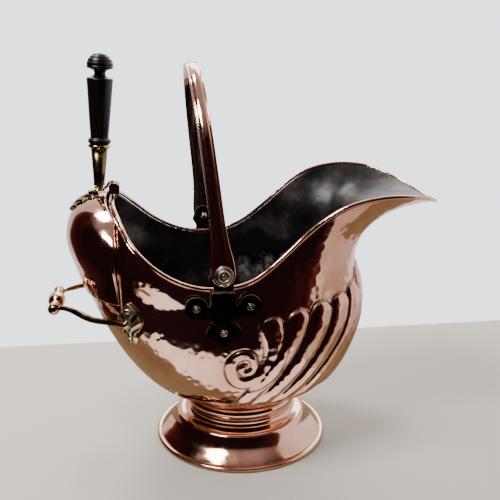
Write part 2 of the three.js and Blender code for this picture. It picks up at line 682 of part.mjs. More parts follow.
// The head's outline seen from the side: a block with its two top corners cut.
function keeperCap() {
  const outline = new THREE.Shape([
    [CAP.back, CAP.low],
    [CAP.front, CAP.low],
    [CAP.front, CAP.high - CAP.corner],
    [CAP.front - CAP.corner, CAP.high],
    [CAP.back + CAP.corner, CAP.high],
    [CAP.back, CAP.high - CAP.corner],
  ].map(([x, z]) => new THREE.Vector2(x, z)));
  const cap = new THREE.ExtrudeGeometry(outline, { depth: 2 * KEEPER_HALF, bevelEnabled: false });
  return cap.rotateX(90 * DEG).translate(0, KEEPER_HALF, 0);
}

// A copper strip riveted inside the back, with its head folded over the wired rim.
function shovelKeeper() {
  const inside = keeperFlange();
  const line = [
    ...inside.map((p) => [p.x, p.z]),
    [-146.5, 302.2],
    [-142, 304],
    [KEEPER_FRONT - 0.7, 306.5],
    [KEEPER_FRONT, 309],
    [KEEPER_FRONT, CAP.low + 2],
  ];
  const tools = [-1, 1].map((side) => keeperRivetFrame(new THREE.CylinderGeometry(RIVET_SHANK - 0.5 + SEAT,
    RIVET_SHANK - 0.5 + SEAT, 12, 8).rotateX(90 * DEG), side));
  return cut(joined(strip(line, KEEPER_HALF, KEEPER_THICK), keeperCap()), ...tools);
}

// Turns a piece made along Z to stand on the keeper's flange, one each side of the middle.
const KEEPER_RIVET_Y = 3.6;

function keeperRivetFrame(piece, side) {
  const [low, high] = keeperFlange();
  const along = high.clone().sub(low).normalize();
  const normal = new THREE.Vector3(along.z, 0, -along.x);
  const place = low.clone().lerp(high, 0.5).addScaledVector(normal, KEEPER_THICK / 2 + SEAT);
  const turn = new THREE.Quaternion().setFromUnitVectors(new THREE.Vector3(0, 0, 1), normal);
  return piece.applyQuaternion(turn).translate(place.x, side * KEEPER_RIVET_Y, place.z);
}

function keeperRivet(side) {
  return keeperRivetFrame(rivet(2.4, RIVET_SHANK - 0.5, KEEPER_THICK), side);
}

// ---------------------------------------------------------------- rear handle
const MOUNT_ANGLE = 144.4; // degrees from the spout
const MOUNT_Z = 187;
const MOUNT_THICK = 3;
const EYE_INNER = GRIP_LENGTH / 2 + SEAT; // the arms' eyes stand at the ends of the grip
const ARM_EYE_THICK = 5;
const ARM_EYE_RADIUS = 6.5;
// Middle line of an arm, from the eye to the mount, and its radius there.
const ARM_LINE = [[GRIP_X + 4.5, -EYE_INNER - ARM_EYE_THICK / 2, GRIP_Z + 0.4], [-203, -34.5, 185.6],
  [-192, -44.5, 185.2], [-181.5, -56, 183.7], [-171.3, -67, 183.2], [-160, -77, 184.4], [-147, -86.7, 186.3]];
const ARM_RADII = [2.3, 2.9, 3.5, 3.8, 3.6, 3.5, 4, 4.6];

// Height and half width of the mount's leaf from its tip up.
const LEAF_HEIGHTS = [160, 165, 171, 176, 181, 187, 193, 198, 203, 210];
const LEAF_WIDTHS = [0.8, 4.5, 6.2, 5.2, 9.5, 13, 13.4, 10, 7.6, 0.8];
const leafKnots = LEAF_HEIGHTS.map((height, i) => i / (LEAF_HEIGHTS.length - 1));
const mountHeight = splineThrough(leafKnots, LEAF_HEIGHTS);
const mountHalf = splineThrough(leafKnots, LEAF_WIDTHS);

function mountPoint(across, up, lift) {
  const radius = 154;
  const angle = -MOUNT_ANGLE * DEG - (2 * across - 1) * mountHalf(up) / radius;
  return offWall(angle, shareAtHeight(angle, mountHeight(up)), 2 * SEAT + lift);
}

const MOUNT_RIVETS = [169.5, 202]; // heights
const MOUNT_RIVET_STAND = 5.2; // head above the wall

function mountRivetFrame(piece, i) {
  const angle = -MOUNT_ANGLE * DEG;
  const share = shareAtHeight(angle, MOUNT_RIVETS[i]);
  const normal = wallNormal(angle, share);
  const place = offWall(angle, share, MOUNT_RIVET_STAND + SEAT);
  const turn = new THREE.Quaternion().setFromUnitVectors(new THREE.Vector3(0, 0, 1), normal);
  return piece.applyQuaternion(turn).translate(place.x, place.y, place.z);
}

function mountRivet(i) {
  return mountRivetFrame(rivet(3.4, RIVET_SHANK, MOUNT_RIVET_STAND - SEAT), i);
}

function handleArm() {
  const steps = 12;
  const end = offWall(-MOUNT_ANGLE * DEG, shareAtHeight(-MOUNT_ANGLE * DEG, MOUNT_Z), MOUNT_THICK + 3);
  const line = [...ARM_LINE, end.toArray()];
  const knots = line.map((point, i) => i / (line.length - 1));
  const [x, y, z] = [0, 1, 2].map((axis) => splineThrough(knots, line.map((point) => point[axis])));
  const radius = splineThrough(knots, ARM_RADII);
  const middle = (t) => new THREE.Vector3(x(t), y(t), z(t));
  const rings = [];
  for (let i = 0; i <= steps; i += 1) {
    const t = i / steps;
    const along = middle(Math.min(t + 0.01, 1)).sub(middle(Math.max(t - 0.01, 0))).normalize();
    const out = along.clone().cross(new THREE.Vector3(0, 0, 1)).normalize();
    const up = out.clone().cross(along);
    rings.push(Array.from({ length: 7 }, (unused, k) => {
      const a = 2 * Math.PI * k / 7;
      return middle(t).addScaledVector(out, radius(t) * Math.cos(a)).addScaledVector(up, radius(t) * Math.sin(a));
    }));
  }
  const eye = turned([[0, EYE_INNER], [ARM_EYE_RADIUS, EYE_INNER], [ARM_EYE_RADIUS, EYE_INNER + ARM_EYE_THICK],
    [0, EYE_INNER + ARM_EYE_THICK]], 12).rotateX(90 * DEG).translate(GRIP_X, 0, GRIP_Z);
  const bore = new THREE.CylinderGeometry(GRIP_ROD + SEAT, GRIP_ROD + SEAT, 4 * GRIP_LENGTH, 10);
  const crown = (u, v) => MOUNT_THICK + 2.4 * Math.sin(Math.PI * v) * (1 - (2 * u - 1) ** 2);
  const leaf = plateBetween((u, v) => mountPoint(u, v, crown(u, v)), (u, v) => mountPoint(u, v, 0), 4, 9);
  const holes = [0, 1].map((i) => mountRivetFrame(new THREE.CylinderGeometry(RIVET_SHANK + SEAT,
    RIVET_SHANK + SEAT, 40, 8).rotateX(90 * DEG), i));
  return cut(joined(skinRings(rings), eye, leaf), bore.translate(GRIP_X, 0, GRIP_Z), ...holes);
}

function handleGrip() {
  const bore = GRIP_ROD + SEAT;
  const end = GRIP_LENGTH / 2;
  const half = [[bore, end], [5.6, end], [6.4, end - 2], [4.9, end - 4.5], [6.2, end - 7], [4.9, end - 9.5],
    [4.7, end - 12], [6.2, end - 14.5], [8, 9.6], [GRIP_RADIUS - 0.4, 5.2]];
  const other = half.map(([radius, height]) => [radius, -height]).reverse();
  const profile = [...half, [GRIP_RADIUS + 0.3, 0], ...other, half[0]];
  return turned(profile, 12).rotateX(90 * DEG).translate(GRIP_X, 0, GRIP_Z);
}

function gripRod() {
  const face = EYE_INNER + ARM_EYE_THICK + SEAT;
  const cap = [[0, face + 2.4], [3.2, face + 1.6], [4.6, face], [GRIP_ROD, face]];
  const other = cap.map(([radius, height]) => [radius, -height]).reverse();
  return turned([...cap, ...other], 12).rotateX(90 * DEG).translate(GRIP_X, 0, GRIP_Z);
}

// ---------------------------------------------------------------- materials and assembly
const finish = (color, roughness, metalness) => new THREE.MeshStandardMaterial({ color, roughness, metalness });
const copper = () => finish(0xd08a6c, 0.16, 1);
const darkBrass = () => finish(0x4a4232, 0.38, 1);
const brass = () => finish(0xc2a265, 0.26, 1);
const ebonised = () => finish(0x15130f, 0.42, 0);
const steel = () => finish(0x8b8d90, 0.35, 1);

const group = new THREE.Group();

function add(name, geometry, material, parent = group) {
  const mesh = new THREE.Mesh(geometry, material);
  mesh.name = name;
  parent.add(mesh);
  return mesh;
}

add('body_shell', bodyShell(), copper());
add('rim_bead', rimBead(), copper());
add('foot_pedestal', footPedestal(), copper());
add('foot_rolled_edge', rolledEdge(), copper());
for (const [side, place] of [['near', (piece) => piece], ['far', mirroredAcrossMiddle]]) {
  add(`lug_plate_${side}`, place(lugPlate()), darkBrass());
  ['back', 'front', 'low'].forEach((spot, i) => {
    add(`lug_rivet_${spot}_${side}`, place(lugRivet(LUG_RIVETS[i])), darkBrass());
  });
  add(`pivot_bolt_${side}`, place(pivotBolt()), darkBrass());
  add(`pivot_washer_${side}`, place(pivotWasher()), darkBrass());
  add(`pivot_nut_${side}`, place(pivotNut()), brass());
}
const bailFrame = new THREE.Group();
bailFrame.position.set(PIVOT_X, 0, PIVOT_Z);
bailFrame.rotation.y = -BAIL_LEAN;
group.add(bailFrame);
add('bail', bail(), copper(), bailFrame);

add('shovel_blade', shovelBlade(), copper());
const shovelFrame = new THREE.Group();
shovelFrame.position.set(SHOVEL_X, 0, SHOVEL_Z);
shovelFrame.rotation.y = SHOVEL_TILT;
group.add(shovelFrame);
add('shovel_ferrule', shovelFerrule(), brass(), shovelFrame);
add('shovel_collar', shovelCollar(), brass(), shovelFrame);
add('shovel_handle', shovelHandle(), ebonised(), shovelFrame);
add('shovel_tang', shovelTang(), steel(), shovelFrame);
add('shovel_leaf_hook', shovelLeaf(), brass());
add('shovel_keeper', shovelKeeper(), copper());
add('keeper_rivet_near', keeperRivet(1), copper());
add('keeper_rivet_far', keeperRivet(-1), copper());

add('handle_grip', handleGrip(), brass());
add('handle_rod', gripRod(), steel());
for (const [side, place] of [['near', (piece) => piece], ['far', mirroredAcrossMiddle]]) {
  add(`handle_arm_${side}`, place(handleArm()), brass());
  add(`handle_rivet_low_${side}`, place(mountRivet(0)), darkBrass());
  add(`handle_rivet_high_${side}`, place(mountRivet(1)), darkBrass());
}

export default group;
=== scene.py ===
import math

import bmesh
import bpy
import numpy as np
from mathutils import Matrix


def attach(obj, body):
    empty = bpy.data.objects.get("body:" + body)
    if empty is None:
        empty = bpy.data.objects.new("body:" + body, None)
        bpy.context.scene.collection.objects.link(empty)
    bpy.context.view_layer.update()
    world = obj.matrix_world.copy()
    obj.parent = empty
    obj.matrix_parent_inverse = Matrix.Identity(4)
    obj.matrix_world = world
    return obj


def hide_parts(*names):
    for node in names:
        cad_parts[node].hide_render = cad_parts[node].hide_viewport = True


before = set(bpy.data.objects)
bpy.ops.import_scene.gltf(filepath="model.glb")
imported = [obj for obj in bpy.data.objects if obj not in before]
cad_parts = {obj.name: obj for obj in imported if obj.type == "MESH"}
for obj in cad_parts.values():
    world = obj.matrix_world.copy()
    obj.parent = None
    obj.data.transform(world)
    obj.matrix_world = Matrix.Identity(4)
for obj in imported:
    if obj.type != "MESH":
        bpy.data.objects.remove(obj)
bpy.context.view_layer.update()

# ------------------------------
# The bowl. One sheet of copper raised by hammer, drawn up at the front into the spout and
# worked out from behind into gadroons and a scroll on each side. Polished outside, with the
# planishing hammer's marks left in it, and blackened inside.
RING_ANGLES = np.array([0, 45, 90, 135, 180.0])
RING_RADII = np.array([
    [60, 60, 60, 60, 60], [93, 92, 90, 94, 98], [118, 113, 107, 119, 127],
    [134.5, 125.5, 118, 139, 155], [142.5, 132, 123, 150, 177], [137, 128, 122.5, 152, 187]])
RING_HEIGHTS = np.array([
    [59, 59, 59, 59, 59], [77, 77, 76, 76, 76], [104, 103, 101, 102, 103],
    [137, 136, 134, 138, 146], [180, 178, 172, 180, 196], [225, 222, 202, 215, 235]])
RIM_ANGLES = np.array([0, 9, 17, 23, 29, 36, 45, 53, 62, 69, 76, 90, 106, 120, 132, 138, 151, 165, 180.0])
RIM_RADII = np.array([229, 226, 221.5, 215, 205, 183, 152.5, 133, 117, 112.5, 110.5, 115.5, 125.5, 140,
                      156.5, 161, 155, 149, 145])
RIM_HEIGHTS = np.array([294, 297.5, 304, 310.5, 316, 318.5, 312, 298, 277, 264, 252.5, 236, 230.3, 236,
                        256, 270, 291, 303, 307])
WAIST_BULGE = np.array([-42, -8, 0, 5, 20])
SHEET = 1.2
RIM_ROLL = 2.2


def spline(knots, values, at, level=False):
    """Cubic spline. Between two knots it is a*v0 + b*v1 + ((a^3 - a)*m0 + (b^3 - b)*m1)*h^2/6, with
    a and b the shares of the way left and gone, and the bends m chosen so that slopes meet."""
    at = np.asarray(at, float)
    knots = np.broadcast_to(np.asarray(knots, float), at.shape + np.shape(knots)[-1:])
    values = np.broadcast_to(np.asarray(values, float), knots.shape)
    step = np.diff(knots)
    rise = np.diff(values) / step
    lower, upper, right, bend = (np.zeros(knots.shape) for _ in range(4))
    middle = np.ones(knots.shape)
    lower[..., 1:-1] = step[..., :-1]
    upper[..., 1:-1] = step[..., 1:]
    middle[..., 1:-1] = 2 * (step[..., :-1] + step[..., 1:])
    right[..., 1:-1] = 6 * (rise[..., 1:] - rise[..., :-1])
    if level:
        middle[..., 0], upper[..., 0], right[..., 0] = 2 * step[..., 0], step[..., 0], 6 * rise[..., 0]
        middle[..., -1], lower[..., -1] = 2 * step[..., -1], step[..., -1]
        right[..., -1] = -6 * rise[..., -1]
    last = knots.shape[-1] - 1
    for i in range(1, last + 1):
        share = lower[..., i] / middle[..., i - 1]
        middle[..., i] -= share * upper[..., i - 1]
        right[..., i] -= share * right[..., i - 1]
    bend[..., last] = right[..., last] / middle[..., last]
    for i in range(last - 1, -1, -1):
        bend[..., i] = (right[..., i] - upper[..., i] * bend[..., i + 1]) / middle[..., i]
    cell = np.clip((at[..., None] > knots[..., 1:-1]).sum(-1), 0, last - 1)[..., None]
    k0, k1, v0, v1, m0, m1 = (np.take_along_axis(a, cell + up, -1)[..., 0]
                              for a in (knots, values, bend) for up in (0, 1))
    h = k1 - k0
    a = (k1 - at) / h
    b = 1 - a
    return a * v0 + b * v1 + ((a**3 - a) * m0 + (b**3 - b) * m1) * h * h / 6


def smooth(x, low, high):
    """Smooth step: 3t^2 - 2t^3 with t the clipped share of the way from low to high."""
    t = np.clip((x - low) / (high - low), 0, 1)
    return t * t * (3 - 2 * t)


def wall_line(angle):
    """Radius and height of each ring, the waist and the rim at an angle, and the share of the
    wall's length at which each comes. The waist lies half way to the rim, pushed out or in."""
    folded = np.degrees(np.abs(np.arctan2(np.sin(angle), np.cos(angle))))
    radius = [spline(RING_ANGLES, ring, folded, True) for ring in RING_RADII]
    height = [spline(RING_ANGLES, ring, folded, True) for ring in RING_HEIGHTS]
    rim_radius = spline(RIM_ANGLES, RIM_RADII, folded, True)
    rim_height = spline(RIM_ANGLES, RIM_HEIGHTS, folded, True)
    radius += [(radius[-1] + rim_radius) / 2 + spline(RING_ANGLES, WAIST_BULGE, folded, True), rim_radius]
    height += [(height[-1] + rim_height) / 2, rim_height]
    radius, height = np.stack(radius, -1), np.stack(height, -1)
    length = np.cumsum(np.hypot(np.diff(radius), np.diff(height)), -1)
    knots = np.concatenate([np.zeros_like(length[..., :1]), length / length[..., -1:]], -1)
    return radius, height, knots, length[..., -1]


def wall_point(angle, share, line=None):
    """Point of the wall: (r cos a, r sin a, z), with r and z splines of the share of the wall's
    line from the neck (0) to the rim (1)."""
    radius, height, knots, _ = line or wall_line(angle)
    r, z = spline(knots, radius, share), spline(knots, height, share)
    return np.stack([r * np.cos(angle), r * np.sin(angle), z], -1)


def unit(vector):
    return vector / np.linalg.norm(vector, axis=-1, keepdims=True)


def wall_normal(angle, share):
    """Cross product of the steps round the wall and up it, by small differences."""
    small = 0.002
    line = wall_line(angle)
    turn = wall_point(angle + small, share) - wall_point(angle - small, share)
    rise = wall_point(angle, np.minimum(share + small, 1), line) - wall_point(
        angle, np.maximum(share - small, 0), line)
    return unit(np.cross(turn, rise))


def off_wall(angle, share, distance):
    return wall_point(angle, share) + wall_normal(angle, share) * np.asarray(distance)[..., None]


def share_at_height(angle, height):
    """Share of the wall's line at a height, by halving."""
    radius, heights, knots, _ = wall_line(angle)
    low, high = np.zeros_like(angle), np.ones_like(angle)
    for _ in range(26):
        mid = (low + high) / 2
        under = spline(knots, heights, mid) < height
        low, high = np.where(under, mid, low), np.where(under, high, mid)
    return low


LOBE_STEP = 13.3  # degrees from gadroon to gadroon
LOBE_TOPS = np.array([225, 221, 212, 209, 206, 202.0])
LOBE_HEIGHT = 6.4
LOBE_FADE = (72, 96)  # heights over which the gadroons rise out of the neck
CUT_WIDTH, CUT_DEPTH = 1.2, 0.6  # of the tooled line round each gadroon and along the scroll
SINK = 0.4  # how far the smooth wall lies behind the wall's lines
SWEEP, SWEEP_TOP, SWEEP_FOOT, SWEEP_POWER = 25, 200, 80, 1.6
# The scroll's middle line from its head, as x, z and half its width, and the box it lies in.
SCROLL = np.array([
    [19, 184, 13.5], [21.5, 170, 13], [22.5, 155, 12.4], [17, 136, 11.5], [4, 123, 9.6], [-10, 118, 8],
    [-20.5, 124, 7.4], [-25.5, 138, 7], [-21.5, 150, 6.4], [-11.5, 155.5, 5.8], [-2, 150.5, 5],
    [0.5, 141, 4.4], [-3.5, 134, 4.1], [-10.5, 132.5, 3.9], [-14, 137.5, 3.7], [-11.5, 141.5, 3.5]])
SCROLL_X, SCROLL_LOW, SCROLL_HIGH = 42, 100, 205
BEADS = 150  # beads that the scroll is strung from
HEAD_SHARE = (0.22, 0.36)  # of the line, over which the domed head turns into a flat band
HEAD_HEIGHT, BAND_HEIGHT = 0.75, 0.42  # of the head and the band, as shares of the gadroons'


def swept_angle(bearing, height):
    """Angle of a gadroon's bearing at a height: it sweeps back by a power of the drop, least at
    the very front and at the back."""
    drop = np.maximum(0, SWEEP_TOP - np.maximum(height, SWEEP_FOOT)) / 100
    side = np.abs(bearing)
    share = smooth(side, 0, 28) * (1 - smooth(side, 60, 175))
    return bearing + np.sign(bearing) * SWEEP * drop**SWEEP_POWER * share


def relief(bearing, point):
    """How far the sheet is worked out, in mm: the higher of the gadroons, each round across and at
    its top, and of the scroll's beads, domed at its head and flat along its band. And how deep it is
    tooled, from 0 to 1: a bell, exp(-d^2), of the distance d from each outline."""
    side = np.abs(bearing)
    lobe = np.minimum(np.round(side / LOBE_STEP).astype(int), len(LOBE_TOPS) - 1)
    across = (side - lobe * LOBE_STEP) / (LOBE_STEP / 2)
    half = np.hypot(point[..., 0], point[..., 1]) * np.radians(LOBE_STEP / 2)
    over = np.maximum(0, (point[..., 2] - LOBE_TOPS[lobe] + half) / half)
    reach = np.hypot(across, over)
    fade = smooth(point[..., 2], *LOBE_FADE)
    best = LOBE_HEIGHT * fade * np.sqrt(np.maximum(0, 1 - reach**2))
    cut = fade * np.exp(-((reach - 1) * half / CUT_WIDTH) ** 2)
    knots, along = np.linspace(0, 1, len(SCROLL)), np.linspace(0, 1, BEADS)
    beads = np.stack([spline(knots, SCROLL[:, i], along) for i in range(3)], -1)
    high = (point[..., 2] > SCROLL_LOW) & (point[..., 2] < SCROLL_HIGH)
    near = high & (np.abs(point[..., 0]) < SCROLL_X)
    spot = point[near]
    top, outside = np.zeros(len(spot)), np.full(len(spot), np.inf)
    for (x, z, width), share in zip(beads, smooth(along, *HEAD_SHARE)):
        away = np.hypot(spot[:, 0] - x, spot[:, 2] - z) / width
        off = np.minimum(1, away)
        head, band = HEAD_HEIGHT * np.sqrt(1 - off**2), BAND_HEIGHT * (1 - off**6)
        top = np.maximum(top, head * (1 - share) + band * share)
        outside = np.minimum(outside, (away - 1) * width)
    best[near] = np.maximum(best[near], LOBE_HEIGHT * top)
    cut[near] = np.where(outside < -CUT_WIDTH, 0, cut[near])
    cut[near] = np.maximum(cut[near], np.exp(-(outside / CUT_WIDTH) ** 2))
    return best, cut


def make_mesh(name, points, faces, body, materials, which=None, smoothed=True):
    """A mesh object in metres from points in mm and a list of faces, turned to face outwards."""
    points = np.asarray(points, float).reshape(-1, 3) * 0.001
    faces = [tuple(f) for f in faces]
    mesh = bpy.data.meshes.new(name)
    mesh.from_pydata(points.tolist(), [], faces)
    mesh.calc_loop_triangles()
    corners = np.empty(3 * len(mesh.loop_triangles), int)
    mesh.loop_triangles.foreach_get("vertices", corners)
    a, b, c = (points[corners[i::3]] for i in range(3))
    if np.einsum("ij,ij->", a, np.cross(b, c)) < 0:
        mesh.flip_normals()
    for material in materials:
        mesh.materials.append(material)
    if which is not None:
        mesh.polygons.foreach_set("material_index", np.asarray(which, np.int32))
    mesh.polygons.foreach_set("use_smooth", np.full(len(mesh.polygons), smoothed))
    mesh.validate()
    mesh.update()
    piece = bpy.data.objects.new(name, mesh)
    bpy.context.scene.collection.objects.link(piece)
    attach(piece, body)
    return piece


def quads(rows, columns, wrap_rows, wrap_columns):
    """Faces of a grid of points, row by row, closed on itself either way where asked."""
    i, j = np.meshgrid(np.arange(rows if wrap_rows else rows - 1),
                       np.arange(columns if wrap_columns else columns - 1), indexing="ij")
    k, m = (i + 1) % rows, (j + 1) % columns
    return np.stack([i * columns + j, i * columns + m, k * columns + m, k * columns + j], -1).reshape(-1, 4)


def ring_solid(name, grid, body, materials, closed=False, which=None, strip=False):
    """Skins rows of rings of points. The ends are closed on each other, or by a fan, or for a
    thin ring by a strip across it."""
    rows, columns, _ = grid.shape
    points = grid.reshape(-1, 3)
    faces = quads(rows, columns, closed, True).tolist()
    which = [] if which is None else list(which)
    if not closed and strip:
        for start, turn in ((0, 1), ((rows - 1) * columns, -1)):
            for j in range(columns // 2 - 1):
                face = [start + j, start + columns - 1 - j, start + columns - 2 - j, start + j + 1]
                faces.append(face[::turn])
    elif not closed:
        for start, turn in ((0, -1), ((rows - 1) * columns, 1)):
            points = np.vstack([points, grid[0 if start == 0 else -1].mean(0)])
            ring = start + np.arange(columns)
            for a, b in zip(ring, np.roll(ring, -1)):
                faces.append([a, b, len(points) - 1][::turn])
    if which:
        which += [which[-1]] * (len(faces) - len(which))
    return make_mesh(name, points, faces, body, materials, which or None)


def srgb(code):
    """Linear colour of an sRGB hex value."""
    parts = [int(code[i:i + 2], 16) / 255 for i in (0, 2, 4)]
    return tuple(p / 12.92 if p <= 0.04045 else ((p + 0.055) / 1.055) ** 2.4 for p in parts) + (1,)


def add(tree, kind, inputs=(), stops=(), **settings):
    """Adds a shader node. Its inputs are linked to a socket or to a node's first output, or set to
    a value. A setting is the node's own or that of the input it names, and stops are a ramp's
    positions and colours."""
    made = tree.nodes.new("ShaderNode" + kind)
    for key, value in settings.items():
        if hasattr(made, key):
            setattr(made, key, value)
        else:
            made.inputs[key.replace("_", " ")].default_value = value
    for socket, source in dict(inputs).items():
        if isinstance(source, bpy.types.Node):
            source = source.outputs[0]
        if isinstance(source, bpy.types.NodeSocket):
            tree.links.new(source, made.inputs[socket])
        else:
            made.inputs[socket].default_value = source
    for i, (position, code) in enumerate(stops):
        spots = made.color_ramp.elements
        spot = spots[i] if i < 2 else spots.new(position)
        spot.position, spot.color = position, srgb(code)
    return made


def new_material(name):
    material = bpy.data.materials.new(name)
    material.use_nodes = True
    material.node_tree.nodes.clear()
    return material, material.node_tree


def finish_material(tree, inputs, **settings):
    shader = add(tree, "BsdfPrincipled", inputs, **settings)
    add(tree, "OutputMaterial", {"Surface": shader})


def polished_copper(name, light="F0BFA9", dark="D09A80", marks=1.0, mark_size=0.009, seam=None):
    """Planished and buffed copper sheet: pale pink where it mirrors the light, with a slight tan
    tarnish, the hammer's shallow round marks and the mop's fine scratches. A seam is a lap of the
    sheet at that x, in metres."""
    material, tree = new_material(name)
    place = add(tree, "TexCoord").outputs["Object"]
    cloud = add(tree, "TexNoise", {"Vector": place}, Scale=18.0, Detail=5.0, Roughness=0.6)
    tint = add(tree, "ValToRGB", {"Fac": cloud}, [(0.32, dark), (0.62, light)])
    # The tooled lines round the gadroons and the scroll are darkened toward near black: painted shade in the
    # creases.
    line = add(tree, "Attribute", attribute_name="tooled")
    share = add(tree, "Math", {0: line.outputs["Fac"], 1: 0.8}, operation="MULTIPLY")
    mixed = add(tree, "Mix", {"Factor": share, 6: tint, 7: srgb("3A1D16")}, data_type="RGBA")
    wear = add(tree, "TexNoise", {"Vector": place}, Scale=90.0, Detail=4.0)
    rough = add(tree, "MapRange", {"Value": wear}, From_Min=0.35, From_Max=0.75, To_Min=0.06, To_Max=0.17)
    matt = add(tree, "Math", {0: line.outputs["Fac"], 1: 0.22, 2: rough}, operation="MULTIPLY_ADD")
    hammer = add(tree, "TexVoronoi", {"Vector": place}, feature="SMOOTH_F1",
                 Scale=1 / mark_size, Smoothness=0.6)
    wave = add(tree, "TexNoise", {"Vector": place}, Scale=30.0, Detail=1.0)
    fine = add(tree, "Bump", {"Height": wear}, Strength=0.04 * marks, Distance=0.0004)
    broad = add(tree, "Bump", {"Height": wave, "Normal": fine}, Strength=0.2 * marks, Distance=0.004)
    bump = add(tree, "Bump", {"Height": hammer, "Normal": broad}, Strength=0.19 * marks, Distance=0.003)
    if seam:
        x = add(tree, "SeparateXYZ", {"Vector": place}).outputs["X"]
        lap = add(tree, "MapRange", {"Value": x}, From_Min=seam - 0.0006, From_Max=seam + 0.0006)
        bump = add(tree, "Bump", {"Height": lap, "Normal": bump}, Strength=0.7, Distance=0.0008)
    finish_material(tree, {"Base Color": mixed.outputs[2], "Roughness": matt, "Normal": bump}, Metallic=1.0)
    return material


def blackened_copper():
    """Copper blackened by heat and coal: near black, with a grey bloom, and palest grey in speckled
    patches high on the gadroons' backs: a painted reflection of the window."""
    material, tree = new_material("blackened copper")
    place = add(tree, "TexCoord").outputs["Object"]
    cloud = add(tree, "TexNoise", {"Vector": place}, Scale=16.0, Detail=6.0, Roughness=0.62)
    black = add(tree, "ValToRGB", {"Fac": cloud}, [(0.36, "171514"), (0.52, "332E2C"), (0.7, "776F6C")])
    painted_gleam = add(tree, "Attribute", attribute_name="tooled")
    speck = add(tree, "TexNoise", {"Vector": place}, Scale=110.0, Detail=5.0, Roughness=0.7)
    patch = add(tree, "MapRange", {"Value": speck}, From_Min=0.42, From_Max=0.62)
    share = add(tree, "Math", {0: painted_gleam.outputs["Fac"], 1: patch}, operation="MULTIPLY")
    # Pale grey in patches on the gadroons' backs inside: a painted reflection of the window.
    mixed = add(tree, "Mix", {"Factor": share, 6: black, 7: srgb("C2BCBC")}, data_type="RGBA")
    rough = add(tree, "MapRange", {"Value": cloud}, From_Min=0.3, From_Max=0.8, To_Min=0.3, To_Max=0.55)
    hammer = add(tree, "TexVoronoi", {"Vector": place}, feature="SMOOTH_F1", Scale=80.0)
    bump = add(tree, "Bump", {"Height": hammer}, Strength=0.2, Distance=0.002)
    finish_material(tree, {"Base Color": mixed.outputs[2], "Roughness": rough, "Normal": bump}, Metallic=0.6)
    return material


SEAM_X = -0.138  # in metres, by the edge of the shovel's hood
COPPER = polished_copper("planished copper", seam=SEAM_X)
BLACKENED = blackened_copper()

ROWS, COLUMNS = 150, 324
WORKED_BEARING, CLOSER = 106, 5  # columns stand closer over the gadroons and the scrolls
GLEAM_LOW, GLEAM_HIGH = 140, 180  # heights over which the painted reflection of the window lies on the gadroons' backs inside


def column_bearings():
    """Bearings of the columns, five times as close over the gadroons and scrolls as behind."""
    knots = np.array([-180, -WORKED_BEARING, WORKED_BEARING, 180.0])
    weight = np.cumsum(np.diff(knots, prepend=-180) * [0, 1, CLOSER, 1])
    return np.interp(np.arange(COLUMNS) / COLUMNS * weight[-1], weight, knots)


def edge_share(angle):
    """Share at which the sheet stops short of the wired rim, seen square to the rim."""
    small, top = 0.004, np.ones_like(angle)
    turn = unit(wall_point(angle + small, top) - wall_point(angle - small, top))
    rise = unit(wall_point(angle, top) - wall_point(angle, top - small))
    across = np.linalg.norm(np.cross(turn, rise), axis=-1)
    return 1 - (RIM_ROLL + 0.1) / (across * wall_line(angle)[3])


def body_skins():
    """Outer and inner skin as rows of points: on each bearing the angle follows the sweep, and
    both skins stand out by the relief, the inner one a sheet's thickness behind. With them come
    how far each point is tooled outside, and inside how strong the painted reflection on the
    gadroons' backs is, from 0 to 1."""
    bearing = np.broadcast_to(column_bearings(), (ROWS, COLUMNS))
    row = np.interp(np.linspace(0, 1, ROWS), [0, 0.1, 0.8, 1], [0, 0.18, 0.72, 1])
    angle = np.radians(bearing)
    for _ in range(5):
        share = row[:, None] * edge_share(angle[-1])
        height = wall_point(angle, share)[..., 2]
        angle = np.radians(swept_angle(bearing, height))
    point, normal = wall_point(angle, share), wall_normal(angle, share)
    worked, cut = relief(bearing, point)
    proud = worked - CUT_DEPTH * cut - SINK
    inner_gleam = smooth(worked / LOBE_HEIGHT, 0.35, 0.85) * smooth(point[..., 2], GLEAM_LOW, GLEAM_HIGH)
    return point + normal * proud[..., None], point + normal * (proud - SHEET)[..., None], cut, inner_gleam


outside, inside, cut, inner_gleam = body_skins()
skins = np.concatenate([outside, inside[::-1]])
finish = np.repeat([0] * (ROWS - 1) + [1] * ROWS, COLUMNS)
bowl = ring_solid("bowl_copper", skins, "scuttle", [COPPER, BLACKENED], which=finish)
# The tooled attribute holds the tooled lines outside, darkened as painted shade, and the painted reflection
# inside.
tooled = bowl.data.attributes.new("tooled", "FLOAT", "POINT")
tooled.data.foreach_set("value", np.concatenate([cut.ravel(), inner_gleam[::-1].ravel(), [0, 0]]))
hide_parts("body_shell")


# ------------------------------
# The wired rim. The sheet's edge is rolled over a round wire all the way round the mouth, and
# shows as an even bead.
RIM_COPPER = polished_copper("rolled copper rim", marks=0.3)


def tube(path, along, radius, sides):
    """A round section carried along a path: centre + r cos a * out + r sin a * up, with out level
    and square to the way along, and up square to both."""
    out = unit(np.cross(along, [0, 0, 1.0]))
    up = np.cross(along, out)
    a = np.linspace(0, 2 * np.pi, sides, endpoint=False)[:, None]
    section = np.cos(a) * out[:, None] + np.sin(a) * up[:, None]
    return path[:, None] + np.reshape(radius, (-1, 1, 1)) * section


turns = np.linspace(0, 2 * np.pi, 480, endpoint=False)
rim_line = wall_point(turns, np.ones_like(turns))
rim_way = unit(np.roll(rim_line, 1, 0) - np.roll(rim_line, -1, 0))
rim = ring_solid("rim_wired", tube(rim_line, rim_way, RIM_ROLL, 14), "scuttle", [RIM_COPPER], closed=True)
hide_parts("rim_bead")

